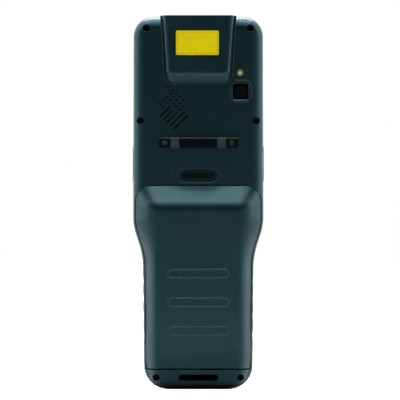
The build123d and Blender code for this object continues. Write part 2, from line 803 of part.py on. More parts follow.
# --------------------------------------------------------------- the cover
def make_battery_cover():
    """The bulged lid: a shell with a solid lip, hooks and grip marks."""
    space = prism(cover_plan(), SEAM_Y + SLIP, FAR)
    outer = grip_bulge()
    crest_edges = [
        edge for edge in outer.edges()
        if abs(edge.center().Z - CREST_TOP_Z) < SLIP and edge.center().Y > BACK_Y
        and abs(edge.center().X) < SLIP
    ]
    outer = fillet(crest_edges, CREST_EDGE_R)
    lid = outer & space
    for i in range(GRIP_MARK_COUNT):
        z = GRIP_MARK_Z + (i - (GRIP_MARK_COUNT - 1) / 2) * GRIP_MARK_PITCH
        lid += grip_mark(z)
    hollow_low = COVER_LOW_Z + COVER_WALL
    hollow = grip_bulge(COVER_WALL) & slab(hollow_low, COVER_TOP_Z - COVER_WALL)
    lid -= hollow
    return lid - heel_cut() + both_sides(hook())


def heel_cut():
    """What rounds the lower outer edge on which the cover rocks open."""
    z = COVER_LOW_Z + HEEL_R
    y = crest_at(z) - HEEL_R
    corner = block(-FAR, FAR, y, FAR, 0, z)
    rod = Pos(0, y, z) * Rot(0, 90, 0) * Cylinder(HEEL_R, 4 * FAR)
    return corner - rod


def grip_mark(z):
    """A raised oblong outline on the leaning flat."""
    lean = math.atan((CREST_TOP_Y - CREST_FOOT_Y) / CREST_TOP_Z)
    normal = (0, math.cos(lean), -math.sin(lean))
    face = Plane(origin=(0, crest_at(z), z), x_dir=(1, 0, 0), z_dir=normal)
    outer = RectangleRounded(GRIP_MARK_WIDTH, GRIP_MARK_HEIGHT, GRIP_MARK_HEIGHT / 2 - SLIP)
    width = GRIP_MARK_WIDTH - 2 * GRIP_MARK_LINE
    height = GRIP_MARK_HEIGHT - 2 * GRIP_MARK_LINE
    inner = RectangleRounded(width, height, height / 2 - SLIP)
    ring = face.offset(-GRIP_MARK_LINE) * (outer - inner)
    return extrude(ring, amount=GRIP_MARK_LINE + GRIP_MARK_RISE)


def hook():
    return block(HOOK_X - HOOK_WIDTH / 2, HOOK_X + HOOK_WIDTH / 2, HOOK_LOW_Y, HOOK_HIGH_Y,
                 HOOK_LOW_Z, COVER_LOW_Z + COVER_WALL)


def hook_pockets():
    half = HOOK_WIDTH / 2 + CLEAR
    pocket = block(HOOK_X - half, HOOK_X + half, HOOK_LOW_Y - HOOK_SWING, HOOK_HIGH_Y + CLEAR,
                   HOOK_LOW_Z - 2 * CLEAR, CHIN_TOP_Z + CLEAR)
    return both_sides(pocket)


# ---------------------------------------------------------------- the pack
def tray_floor_y():
    return BAY_FLOOR_Y + CLEAR


def tray_box(wall):
    half = BAY_HALF_WIDTH - CLEAR - wall
    return block(-half, half, tray_floor_y() + wall, CREST_TOP_Y,
                 BAY_LOW_Z + 2 * CLEAR + wall, BAY_TOP_Z - TRAY_SWING - wall)


def make_battery_tray():
    """The open box that holds the cells and stands up to the cover."""
    reach = grip_bulge(COVER_WALL + SLIP) + block(
        -BAY_HALF_WIDTH, BAY_HALF_WIDTH, tray_floor_y(), SEAM_Y - CLEAR, 0, BAY_TOP_Z)
    return (tray_box(0) & reach) - tray_box(TRAY_WALL)


def make_battery_cells():
    """Two flat cells side by side."""
    wall = TRAY_WALL + SLIP
    low_z = BAY_LOW_Z + 2 * CLEAR + wall
    top_z = BAY_TOP_Z - TRAY_SWING - wall
    outer_x = BAY_HALF_WIDTH - CLEAR - wall
    cell = block(CELL_GAP / 2, outer_x, tray_floor_y() + wall, CELL_ROOF_Y, low_z, top_z)
    cell = fillet(cell.edges().filter_by(Axis.Z), CELL_EDGE_R)
    return grouped([cell, mirrored(cell)])


def pad_x(i):
    return (i - (PAD_COUNT - 1) / 2) * PAD_PITCH


def make_battery_pads():
    top = BAY_TOP_Z - TRAY_SWING
    half = PAD_WIDTH / 2
    return grouped([
        block(pad_x(i) - half, pad_x(i) + half, PAD_LOW_Y, PAD_HIGH_Y, top, top + PAD_THICK)
        for i in range(PAD_COUNT)
    ])


def contact_half_width():
    return pad_x(PAD_COUNT - 1) + CONTACT_MARGIN + PAD_WIDTH / 2


def contact_pocket():
    half = contact_half_width() + SLIP
    return block(-half, half, PAD_LOW_Y - CLEAR - SLIP, PAD_HIGH_Y + CLEAR + SLIP,
                 BAY_TOP_Z - CLEAR, bay_head_top())


def make_battery_contacts():
    """The terminal's spring contacts, one block with four blades."""
    half = contact_half_width()
    body = block(-half, half, PAD_LOW_Y - CLEAR, PAD_HIGH_Y + CLEAR, BAY_TOP_Z, bay_head_top())
    for i in range(PAD_COUNT):
        reach = PAD_WIDTH / 2 - SLIP
        body += block(pad_x(i) - reach, pad_x(i) + reach, PAD_LOW_Y + CLEAR, PAD_HIGH_Y - CLEAR,
                      BAY_TOP_Z - CONTACT_REACH, BAY_TOP_Z)
    return body


def rim_ring(shrink=0.0):
    """The ring round the bay's mouth in which its seal lies."""
    middle_z = (BAY_LOW_Z + BAY_TOP_Z) / 2
    height = BAY_TOP_Z - BAY_LOW_Z
    lips = []
    for grow in (SEAL_INSET + SEAL_WIDTH - shrink, SEAL_INSET + shrink):
        lips.append(round_rect(0, middle_z, 2 * (BAY_HALF_WIDTH + grow), height + 2 * grow,
                               SEAL_CORNER_R + grow))
    return lips[0] - lips[1]


def seal_groove():
    return prism(rim_ring(), SEAM_Y - SEAL_DEPTH, SEAM_Y)


def make_bay_seal():
    return prism(rim_ring(SLIP / 2), SEAM_Y - SEAL_DEPTH, SEAM_Y)


# ------------------------------------------------------------------- latch
def recess_floor_y():
    return BACK_Y - RECESS_DEPTH


def latch_cuts():
    """The oval recess of the knob and the slot for its stem."""
    oval = Pos(0, LATCH_Z) * SlotOverall(RECESS_WIDTH, RECESS_HEIGHT)
    recess = prism(oval, recess_floor_y(), FAR)
    half = STEM_WIDTH / 2 + CLEAR
    slot = block(-half - LATCH_TRAVEL, half, PARTING_Y, BACK_Y,
                 LATCH_Z - STEM_HEIGHT / 2 - CLEAR, LATCH_Z + STEM_HEIGHT / 2 + CLEAR)
    return recess + slot


def make_latch_knob():
    """A sliding knob with upright ribs, and the stem under it."""
    low = recess_floor_y() + SLIP
    high = BACK_Y + KNOB_RISE
    oval = Pos(0, LATCH_Z) * SlotOverall(KNOB_WIDTH, KNOB_HEIGHT)
    knob = prism(oval, low, high)
    knob = fillet(knob.edges().filter_by_position(Axis.Y, high, high), KNOB_EDGE_R)
    for i in range(KNOB_RIBS):
        x = (i - (KNOB_RIBS - 1) / 2) * KNOB_RIB_PITCH
        knob += Pos(x, high, LATCH_Z) * Cylinder(KNOB_RIB_R, KNOB_RIB_LENGTH)
    stem = block(-STEM_WIDTH / 2, STEM_WIDTH / 2, bolt_high_y(), low,
                 LATCH_Z - STEM_HEIGHT / 2, LATCH_Z + STEM_HEIGHT / 2)
    return knob + stem


def bolt_high_y():
    return BACK_Y - RECESS_DEPTH - LATCH_ROOF - SLIP


def make_latch_bolt():
    """The plate that the stem carries behind the wall."""
    low_z = bay_head_top() + CLEAR
    plate = block(-BOLT_WIDTH / 2, BOLT_WIDTH / 2, bolt_high_y() - BOLT_THICK, bolt_high_y(),
                  low_z, low_z + BOLT_HEIGHT)
    return fillet(plate.edges().filter_by(Axis.Y), BOLT_CORNER_R)


# ------------------------------------------------------------ strap bridge
def bar_low_y():
    return BACK_Y + BRIDGE_GAP


def make_strap_bridge():
    """A bar on two screwed feet, with a ramp at each side."""
    foot_y = BACK_Y + BRIDGE_FOOT_THICK
    top_y = bar_low_y() + BRIDGE_THICK
    right = [
        (BRIDGE_HALF_WIDTH, BACK_Y),
        (BRIDGE_HALF_WIDTH, foot_y),
        (BRIDGE_FOOT_X, foot_y),
        (BRIDGE_TOP_X, top_y),
    ]
    under = [
        (BRIDGE_TOP_X - BRIDGE_FOOT_THICK / 2, bar_low_y()),
        (BRIDGE_FOOT_X - BRIDGE_FOOT_THICK, BACK_Y),
    ]
    points = right + [(-x, y) for x, y in reversed(right)]
    points += [(-x, y) for x, y in reversed(under)] + under
    outline = make_face(FilletPolyline(*points, radius=BRIDGE_EDGE_R, close=True))
    bar = extrude(Pos(0, 0, BRIDGE_Z - BRIDGE_HEIGHT / 2) * outline, amount=BRIDGE_HEIGHT)
    for x in (-BRIDGE_SCREW_X, BRIDGE_SCREW_X):
        bar -= post(x, BRIDGE_Z, BRIDGE_SCREW_R + SLIP, foot_y - BRIDGE_SCREW_SINK,
                    FAR)
        bar -= post(x, BRIDGE_Z, SCREW_SHANK_R, BACK_Y, foot_y)
    return bar


def bridge_screw_holes():
    return both_sides(post(BRIDGE_SCREW_X, BRIDGE_Z, SCREW_SHANK_R, BACK_Y - BACK_WALL, BACK_Y))


def make_strap_screws():
    foot_y = BACK_Y + BRIDGE_FOOT_THICK
    seat_y = foot_y - BRIDGE_SCREW_SINK
    head_y = foot_y + BRIDGE_SCREW_RISE
    screw = post(BRIDGE_SCREW_X, BRIDGE_Z, BRIDGE_SCREW_R, seat_y, head_y)
    drive = Pos(BRIDGE_SCREW_X, BRIDGE_Z) * RegularPolygon(SCREW_DRIVE_R, 6)
    screw -= prism(drive, head_y - BRIDGE_SCREW_SINK / 2, FAR)
    screw += post(BRIDGE_SCREW_X, BRIDGE_Z, SCREW_SHANK_R - SLIP / 2, BACK_Y - BACK_WALL, seat_y)
    return grouped([screw, mirrored(screw)])


# ------------------------------------------------------------ scanner hump
def hump_plan(inset=0.0, lift=0.0, radius=None):
    """The hump from behind: wider at the top, rounded at its lower corners."""
    slope = (HUMP_TOP_HALF - HUMP_LOW_HALF) / (HUMP_TOP_Z - HUMP_LOW_Z)
    low_z = HUMP_LOW_Z + inset + lift
    top_half = HUMP_TOP_HALF - inset
    low_half = HUMP_LOW_HALF + slope * (inset + lift) - inset
    corners = [(low_half, low_z), (top_half, HUMP_TOP_Z), (-top_half, HUMP_TOP_Z),
               (-low_half, low_z)]
    radius = radius or HUMP_CORNER_R - inset
    wire = FilletPolyline(*corners, radius=[radius, 0, 0, radius], close=True)
    return make_face(wire)


def hump_root_plan_solid(grow=0.0):
    """The hump's root, which fills the gap in the rear half."""
    root = hump_plan(HUMP_ROOT_INSET - grow)
    return prism(root, HUMP_ROOT_Y - grow, BACK_Y)


def make_scanner_cover():
    """The raised head cover, with a lip, a groove and a sunk label place."""
    lip_y = BACK_Y + HUMP_LIP
    lip = prism(hump_plan(), BACK_Y, lip_y)
    lip = chamfer(side_edges(lip, lip_y), HUMP_LIP_EDGE)
    lip -= prism(hump_plan(HUMP_INSET - HUMP_GROOVE / 2), lip_y - HUMP_GROOVE_DEPTH, lip_y)
    root_inset = HUMP_INSET + HUMP_GROOVE / 2
    plan = hump_plan(root_inset)
    face = Plane.XZ.offset(-HUMP_Y) * hump_plan(root_inset + HUMP_SLOPE, HUMP_FOOT_LIFT,
                                                HUMP_FACE_CORNER_R)
    hump = prism(plan, BACK_Y, HUMP_WALL_Y)
    hump += loft([Plane.XZ.offset(-HUMP_WALL_Y) * plan, face], ruled=True)
    hump = fillet(side_edges(hump, HUMP_Y), HUMP_ROUND_R)
    cover = lip + hump + hump_root_plan_solid()
    cover -= engine_room()
    cover -= window_seat() + window_opening()
    cover -= label_block(HUMP_Y - LABEL_SINK, HUMP_Y, SLIP / 2)
    return cover


def side_edges(solid, y):
    """The edges of the face at one depth, without the one at the top end."""
    edges = solid.edges().filter_by_position(Axis.Y, y, y)
    return [edge for edge in edges if edge.center().Z < HUMP_TOP_Z - SLIP]


def engine_room():
    half = ENGINE_HALF_WIDTH + ENGINE_ROOM_SIDE
    return block(-half, half, PARTING_Y, HUMP_Y - HUMP_WALL, HUMP_LOW_Z + ENGINE_ROOM_FOOT,
                 HUMP_TOP_Z - HUMP_WALL)


def window_opening():
    half = WINDOW_HALF_WIDTH - WINDOW_LEDGE
    return block(-half, half, WINDOW_LOW_Y + WINDOW_LEDGE, WINDOW_HIGH_Y - WINDOW_LEDGE,
                 HUMP_TOP_Z - HUMP_WALL, HUMP_TOP_Z)


def window_block(z_low, z_high, grow=0.0):
    half = WINDOW_HALF_WIDTH + grow
    return block(-half, half, WINDOW_LOW_Y - grow, WINDOW_HIGH_Y + grow, z_low, z_high)


def window_low_z():
    return HUMP_TOP_Z - WINDOW_SINK - WINDOW_THICK


def window_seat():
    return window_block(window_low_z(), HUMP_TOP_Z, SLIP / 2)


def make_scan_window():
    window = window_block(window_low_z(), HUMP_TOP_Z - WINDOW_SINK)
    return fillet(window.edges().filter_by(Axis.Z), WINDOW_CORNER_R)


def make_scan_engine():
    """The scanning module behind the window."""
    high_z = HUMP_TOP_Z - HUMP_WALL - ENGINE_GAP
    high_y = HUMP_Y - HUMP_WALL - ENGINE_GAP
    body = block(-ENGINE_HALF_WIDTH, ENGINE_HALF_WIDTH, HUMP_ROOT_Y, high_y, ENGINE_LOW_Z,
                 high_z)
    middle_y = (WINDOW_LOW_Y + WINDOW_HIGH_Y) / 2
    height = 2 * (ENGINE_GAP - SLIP)
    lens = Pos(ENGINE_LENS_X, middle_y, high_z) * Cylinder(ENGINE_LENS_R, height)
    aimer = Pos(ENGINE_AIMER_X, middle_y, high_z) * Cylinder(ENGINE_AIMER_R, height)
    return body + lens + aimer


def label_block(y_low, y_high, grow=0.0):
    plan = round_rect(LABEL_X, LABEL_Z, LABEL_WIDTH + 2 * grow, LABEL_HEIGHT + 2 * grow,
                      LABEL_CORNER_R + grow)
    return prism(plan, y_low, y_high)


def make_label_plate():
    low = HUMP_Y - LABEL_SINK
    return label_block(low, low + LABEL_THICK)


# ---------------------------------------------------- camera, flash, sound
def camera_square(size, radius):
    return round_rect(CAMERA_X, CAMERA_Z, size, size, radius)


def camera_pocket():
    pocket = prism(camera_square(CAMERA_BEZEL + 2 * SLIP, CAMERA_BEZEL_R + SLIP),
                   BACK_Y - CAMERA_BEZEL_SINK, BACK_Y)
    return pocket + post(CAMERA_X, CAMERA_Z, CAMERA_LENS_R + CLEAR, PARTING_Y, BACK_Y)


def make_camera_bezel():
    low = BACK_Y - CAMERA_BEZEL_SINK
    high = BACK_Y + CAMERA_BEZEL_RISE
    bezel = prism(camera_square(CAMERA_BEZEL, CAMERA_BEZEL_R), low, high)
    bezel = chamfer(bezel.edges().filter_by_position(Axis.Y, high, high), CAMERA_BEZEL_EDGE)
    opening = camera_square(CAMERA_WINDOW + SLIP, CAMERA_WINDOW_R)
    rim = camera_square(CAMERA_WINDOW + SLIP + 2 * CAMERA_BEZEL_RIM,
                        CAMERA_WINDOW_R + CAMERA_BEZEL_RIM)
    flare_y = high - CAMERA_BEZEL_RIM
    flare = loft([Plane.XZ.offset(-flare_y) * opening, Plane.XZ.offset(-high) * rim], ruled=True)
    return bezel - prism(opening, low, high) - flare


def camera_window_low_y():
    return BACK_Y + CAMERA_BEZEL_RISE - CAMERA_WINDOW_SINK - CAMERA_WINDOW_THICK


def make_camera_window():
    low = camera_window_low_y()
    return prism(camera_square(CAMERA_WINDOW, CAMERA_WINDOW_R), low, low + CAMERA_WINDOW_THICK)


def make_camera_module():
    high = BACK_Y - BACK_WALL - SLIP
    half = CAMERA_BODY / 2
    body = block(CAMERA_X - half, CAMERA_X + half, high - CAMERA_BODY_DEPTH, high,
                 CAMERA_Z - half, CAMERA_Z + half)
    return body + post(CAMERA_X, CAMERA_Z, CAMERA_LENS_R, high, camera_window_low_y() - SLIP)


def make_flash_lens():
    lens = post(FLASH_X, FLASH_Z, FLASH_R, BACK_Y - FLASH_DEPTH, BACK_Y + FLASH_DOME)
    top = BACK_Y + FLASH_DOME
    return fillet(lens.edges().filter_by_position(Axis.Y, top, top), FLASH_DOME)


def grille_point(u, v):
    """A place on the grille's grid, which is turned by 45 degrees."""
    step = GRILLE_PITCH / math.sqrt(2)
    return GRILLE_X + (u - v) * step, GRILLE_TOP_Z - (u + v) * step


def grille_dots():
    """Places of the round sound holes: a triangle of rows and a few more."""
    places = []
    for row in range(GRILLE_ROWS):
        places += [(row - v, v) for v in range(row + 1)]
    return [grille_point(u, v) for u, v in places + list(GRILLE_EXTRA_DOTS)]


def grille_slots():
    """The slanted sound slots, each along one line of the grid."""
    slots = []
    for i, start in enumerate(GRILLE_SLOT_STARTS):
        v = GRILLE_SLOT_FIRST + i
        x, z = grille_point((start + GRILLE_SLOT_END) / 2, v)
        length = (GRILLE_SLOT_END - start) * GRILLE_PITCH
        slots.append(Pos(x, z) * Rot(0, 0, GRILLE_TURN) * SlotOverall(length, 2 * GRILLE_DOT_R))
    return slots


def speaker_holes():
    low = BACK_Y - BACK_WALL - CLEAR
    holes = [post(x, z, GRILLE_DOT_R, low, BACK_Y) for x, z in grille_dots()]
    holes += [prism(slot, low, BACK_Y) for slot in grille_slots()]
    result = holes[0]
    for hole in holes[1:]:
        result += hole
    return result


def speaker_z():
    return GRILLE_TOP_Z - SPEAKER_DROP


def make_speaker_mesh():
    high = BACK_Y - BACK_WALL
    plan = round_rect(GRILLE_X, speaker_z(), MESH_WIDTH, MESH_HEIGHT, MESH_CORNER_R)
    return prism(plan, high - MESH_THICK, high)


def make_speaker_driver():
    high = BACK_Y - BACK_WALL - MESH_THICK - SLIP
    rim = post(GRILLE_X, speaker_z(), SPEAKER_R, high - SPEAKER_RIM, high)
    magnet = post(GRILLE_X, speaker_z(), SPEAKER_MAGNET_R, high - SPEAKER_DEPTH, high)
    return rim + magnet


# --------------------------------------------------------------- side keys
def side_key_shape(grow=0.0, travel=0.0):
    """A stadium along Z that passes through the right side wall."""
    plan = RectangleRounded(SIDE_KEY_DEPTH + 2 * grow, SIDE_KEY_LENGTH + 2 * grow,
                            SIDE_KEY_DEPTH / 2 + grow - SLIP)
    inner_x = SHOULDER_HALF_WIDTH + SIDE_KEY_PROUD - SIDE_KEY_THICK - grow - travel
    face = Plane.YZ.offset(inner_x) * Pos(SIDE_KEY_Y, SIDE_KEY_Z) * plan
    return extrude(face, amount=SIDE_KEY_THICK + 2 * grow + travel)


def side_skin():
    """The rear half's rounded outside, moved out by the key's height."""
    outline = prism(OUTLINE, PARTING_Y, BACK_Y)
    skin = fillet(outline.edges().filter_by_position(Axis.Y, BACK_Y, BACK_Y), BACK_EDGE_R)
    return Pos(SIDE_KEY_PROUD, 0, 0) * skin


def make_side_key():
    return side_key_shape() & side_skin()


def make_side_switches():
    """A switch behind each side key, on a board that backs the key's opening."""
    key_inner = SHOULDER_HALF_WIDTH + SIDE_KEY_PROUD - SIDE_KEY_THICK
    high_x = key_inner - SIDE_KEY_TRAVEL - SLIP
    low_x = high_x - SIDE_SWITCH_THICK
    half = SIDE_SWITCH_LENGTH / 2
    deep = SIDE_SWITCH_DEPTH / 2
    switch = block(low_x, high_x, SIDE_KEY_Y - deep, SIDE_KEY_Y + deep,
                   SIDE_KEY_Z - half, SIDE_KEY_Z + half)
    reach = SIDE_KEY_DEPTH / 2 + SIDE_BOARD_MARGIN
    board_top_z = SIDE_KEY_Z + SIDE_KEY_LENGTH / 2 + SIDE_BOARD_MARGIN
    switch += block(low_x - SIDE_BOARD_THICK, low_x, SIDE_KEY_Y - reach, SIDE_KEY_Y + reach,
                    bay_head_top() + SLIP, board_top_z)
    return grouped([switch, mirrored(switch)])


# ------------------------------------------------------------------ export
def make_nodes():
    """Every node of the terminal by name."""
    side_key = make_side_key()
    nodes = {
        "front_housing": make_front_housing(),
        "rear_housing": make_rear_housing(),
        "housing_seal": make_housing_seal(),
        "base_cap": make_base_cap(),
        "dock_contacts": grouped(dock_pads()),
        "touch_glass": make_touch_glass(),
        "display_module": make_display_module(),
        "earpiece_mesh": make_earpiece_mesh(),
        "status_light": make_status_light(),
        "main_board": make_main_board(),
        "board_shields": make_board_shields(),
        "keypad_mat": make_keypad_mat(),
        "keypad_board": make_keypad_board(),
        "scanner_cover": make_scanner_cover(),
        "scan_window": make_scan_window(),
        "scan_engine": make_scan_engine(),
        "label_plate": make_label_plate(),
        "camera_bezel": make_camera_bezel(),
        "camera_window": make_camera_window(),
        "camera_module": make_camera_module(),
        "flash_lens": make_flash_lens(),
        "speaker_mesh": make_speaker_mesh(),
        "speaker_driver": make_speaker_driver(),
        "strap_bridge": make_strap_bridge(),
        "strap_screws": make_strap_screws(),
        "housing_screws": make_housing_screws(),
        "battery_contacts": make_battery_contacts(),
        "bay_seal": make_bay_seal(),
        "side_switches": make_side_switches(),
        "battery_cover": make_battery_cover(),
        "battery_tray": make_battery_tray(),
        "battery_cells": make_battery_cells(),
        "battery_pads": make_battery_pads(),
        "latch_knob": make_latch_knob(),
        "latch_bolt": make_latch_bolt(),
        "side_key_right": side_key,
        "side_key_left": mirrored(side_key),
    }
    for name, x, z, width, height, radius in key_places():
        nodes[name] = front_key(x, z, width, height, radius)
    return nodes


os.makedirs("parts", exist_ok=True)
for node_name, node_shape in make_nodes().items():
    export_step(node_shape, f"parts/{node_name}.step")
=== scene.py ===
"""The look of the data terminal: materials, prints and marks, studio, camera, lights.

Lengths are in metres, in the frame of the CAD model: Z is up, the screen faces
-Y, and the photograph shows the back, which faces +Y.
"""
import math

import bpy
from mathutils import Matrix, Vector


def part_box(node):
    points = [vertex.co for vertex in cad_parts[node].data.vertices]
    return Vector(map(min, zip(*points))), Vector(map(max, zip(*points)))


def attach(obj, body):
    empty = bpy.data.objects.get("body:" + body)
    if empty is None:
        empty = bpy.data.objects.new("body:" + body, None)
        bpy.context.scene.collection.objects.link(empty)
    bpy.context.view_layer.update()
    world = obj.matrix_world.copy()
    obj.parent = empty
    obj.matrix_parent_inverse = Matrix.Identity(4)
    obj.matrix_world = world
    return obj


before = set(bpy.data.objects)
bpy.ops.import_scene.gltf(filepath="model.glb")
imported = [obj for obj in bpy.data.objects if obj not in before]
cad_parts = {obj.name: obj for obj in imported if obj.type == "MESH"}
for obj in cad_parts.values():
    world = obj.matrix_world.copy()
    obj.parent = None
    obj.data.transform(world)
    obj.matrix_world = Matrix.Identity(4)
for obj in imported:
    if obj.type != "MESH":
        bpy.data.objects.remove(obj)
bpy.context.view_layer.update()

MM = 0.001


# ------------------------------------------------------ places on the part
def middle(node):
    """The middle of a CAD node at rest."""
    low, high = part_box(node)
    return (low + high) / 2


# A patch is the X, Z, half width and half height of an area seen along Y.
SCREEN_Z = middle("display_module").z
SCREEN_HALF_WIDTH = 25.8 * MM
SCREEN_HALF_HEIGHT = 43.3 * MM

LABEL_LOW, LABEL_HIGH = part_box("label_plate")
LABEL_LINE_INSET = 0.85 * MM

CAMERA = middle("camera_window")
# A thin painted highlight under the camera's rim lies in this patch.
CAMERA_RIM_PATCH = (CAMERA.x, CAMERA.z - 4.85 * MM, 3.6 * MM, 0.1 * MM)
FLASH = middle("flash_lens")

HUMP_FOOT_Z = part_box("scanner_cover")[0].z
# A thin painted highlight on the hump's lip lies in this patch.
HUMP_LIP_PATCH = (0.0, HUMP_FOOT_Z + 0.7 * MM, 13.4 * MM, 0.1 * MM)
GRILLE_PATCH = (13.2 * MM, 150.4 * MM, 8.8 * MM, 11.8 * MM)

# The strap bridge stands on the back.
BRIDGE_LOW, BRIDGE_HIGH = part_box("strap_bridge")
BACK_Y = BRIDGE_LOW.y

LATCH_Z = middle("latch_knob").z
LATCH_HALF_RUN = 6.9 * MM
LATCH_RADIUS = 3.6 * MM
# The painted highlight on the latch recess's edge is strongest in this low patch.
LATCH_LOW_PATCH = (0.0, LATCH_Z - 4.0 * MM, 12.0 * MM, 1.6 * MM)

# The grip marks' raised outlines get a painted highlight.
GRIP_MARK_Z = 47.0 * MM
GRIP_MARK_PITCH = 15.4 * MM
GRIP_MARK_HALF_RUN = 14.1 * MM
GRIP_MARK_RADIUS = 2.25 * MM

SLOT_Z = 6.5 * MM
# The strap slot's walls in this patch are painted dark: painted shade.
SLOT_SHADE_PATCH = (0.0, SLOT_Z, 10.9 * MM, 1.75 * MM)
# A black sheet at the back of the strap slot: painted shade where the slot is in shadow.
SHADE_SHEET_HALF_RUN = 9.05 * MM
SHADE_SHEET_RADIUS = 1.55 * MM
SHADE_SHEET_LOW_Y = 0.36 * MM
SHADE_SHEET_HIGH_Y = 0.5 * MM
SHADE_SHEET_END_STEPS = 10

# -------------------------------------------------------- prints and marks
PRINT_HEIGHT = 0.03 * MM
STROKE = 0.45 * MM
NUMERAL_SIZE = 5.2 * MM

ARROW_TURNS = {"up": 0, "down": 180, "left": 90, "right": -90}
ARROW_CORNERS = ((-1.5 * MM, -1.0 * MM), (1.5 * MM, -1.0 * MM), (0.0, 1.6 * MM))
KEY_SIGNS = (
    ("up", "down", "left", "right"),
    ("1", "2", "3", "-"),
    ("4", "5", "6", "+"),
    ("7", "8", "9", "*"),
    (".", "0", "#", "="),
)

MENU_BAR_WIDTH = 3.4 * MM
MENU_BAR_PITCH = 1.1 * MM
RING_RADIUS = 1.5 * MM
RING_STEPS = 32
CODE_WIDTHS = tuple(width * MM for width in (0.5, 0.9, 0.4, 1.2, 0.5, 0.4, 0.9, 0.5))
CODE_START_X = -4.35 * MM
CODE_SPACE = 0.6 * MM
CODE_HEIGHT = 4.2 * MM

LOCK_SHUT = (14.04 * MM, 116.5 * MM)
LOCK_OPEN = (-12.15 * MM, 115.1 * MM)
LOCK_LEAN = 0.5 * MM
LOCK_BODY_Z = -0.35 * MM
LOCK_BODY_WIDTH = 1.6 * MM
LOCK_BODY_HEIGHT = 1.1 * MM
LOCK_LOOP_Z = 0.35 * MM
LOCK_LOOP_RADIUS = 0.55 * MM
LOCK_LOOP_WIDTH = 0.22 * MM
LOCK_LOOP_STEPS = 12

# --------------------------------------------------------------- the studio
# The middle and the width of what the camera sees at Y = 0. Lens and sensor in mm.
VIEW_CENTRE_X = -0.92 * MM
VIEW_CENTRE_Z = 101.96 * MM
VIEW_WIDTH = 216.2 * MM
LENS = 300.0
SENSOR = 36.0

FLOOR_RADIUS = 4.0
FLOOR_SIDES = 96
FLOOR_GLOW = 0.8
FLOOR_BOUNCE = 0.5

# The studio's light from behind, beside and before the terminal, as the
# photograph sees it, and the directions' Y between which each gives way.
BEHIND = 2.3
BESIDE = 4.6
BEFORE = 0.0
BEHIND_TO_BESIDE = (-0.35, -0.15)
BESIDE_TO_BEFORE = (0.05, 0.35)

# Each softbox: its name, its place, the point that it faces, its width and
# height, and its power in watts.
SOFTBOXES = (
    ("overhead", (0.0, 0.03, 0.65), (0.0, 0.0, 0.1), 0.5, 0.06, 0.2),
    ("overhead_front", (0.0, 0.10, 0.65), (0.0, 0.0, 0.1), 0.5, 0.06, 1.5),
    ("overhead_high", (0.0, 0.26, 0.55), (0.0, 0.0, 0.12), 0.5, 0.16, 0.8),
    ("overhead_back", (0.0, -0.25, 0.6), (0.0, 0.0, 0.1), 0.5, 0.2, 5.0),
    ("low_front", (0.0, 0.085, 0.012), (0.0, 0.075, 0.3), 0.2, 0.03, 0.05),
    ("left_key", (-0.9, 0.6, 0.2), (0.0, 0.0, 0.1), 0.4, 0.4, 0.4),
    ("right_key", (0.9, 0.6, 0.2), (0.0, 0.0, 0.1), 0.4, 0.4, 0.4),
)

# --------------------------------------------------------- colours and wear
WHITE = (1.0, 1.0, 1.0)
DUST = (0.08, 0.08, 0.08)
TEAL = (0.0023, 0.0074, 0.0093)
COVER_TEAL = (0.0026, 0.0098, 0.0115)
# The colour of the painted highlight on raised lines and rims.
LINE_HIGHLIGHT_COLOUR = (0.026, 0.050, 0.056)
# The colour of the painted highlight on the strap bridge's top edge.
TOP_EDGE_HIGHLIGHT = (0.060, 0.068, 0.070)
FOOT_BLACK = (0.004, 0.0042, 0.0044)
BRIDGE_BLACK = (0.0006, 0.0009, 0.0010)
MODULE_BLACK = (0.010, 0.010, 0.011)
RUBBER_BLACK = (0.012, 0.012, 0.013)
# The black of the painted shade in the strap slot.
SLOT_SHADE_BLACK = (0.0012, 0.0014, 0.0015)
KEY_ORANGE = (0.42, 0.10, 0.015)
KEY_GREY = (0.035, 0.042, 0.046)
LEGEND_WHITE = (0.62, 0.64, 0.64)
MARK_GREY = (0.007, 0.017, 0.020)
SCREEN_BLACK = (0.011, 0.013, 0.016)
SURROUND_BLACK = (0.004, 0.0045, 0.005)
DISPLAY_BLACK = (0.012, 0.014, 0.018)
SCAN_RED = (0.035, 0.003, 0.003)
LIGHT_GREEN = (0.10, 0.16, 0.13)
LIGHT_HAZE = (0.16, 0.24, 0.20)
LABEL_YELLOW = (0.63, 0.48, 0.0004)
LABEL_PALE = (0.70, 0.54, 0.0006)
LABEL_FIBRE = (0.60, 0.46, 0.0004)
LABEL_LINE = (0.27, 0.20, 0.002)
SHIELD_TIN = (0.52, 0.53, 0.53)
SCREW_BLACK = (0.010, 0.011, 0.012)
SCREW_BRIGHT = (0.045, 0.050, 0.052)
CONTACT_GOLD = (0.80, 0.56, 0.22)
STUDIO_LIGHT = (0.68, 0.80, 0.81)

GLOSS_TINT = (0.46, 1.0, 1.07)
TEAL_GLOSS = {"specular": 0.38, "gloss_tint": GLOSS_TINT}
# How much of the painted highlight on raised lines and rims shows, and what is left of it high
# on the latch.
COVER_LINE_HIGHLIGHT = 0.55
REAR_LINE_HIGHLIGHT = 0.8
LATCH_LINE_HIGH = 0.25
# Most of a noise's values lie in this span.
NOISE_SPAN = (0.3, 0.7)


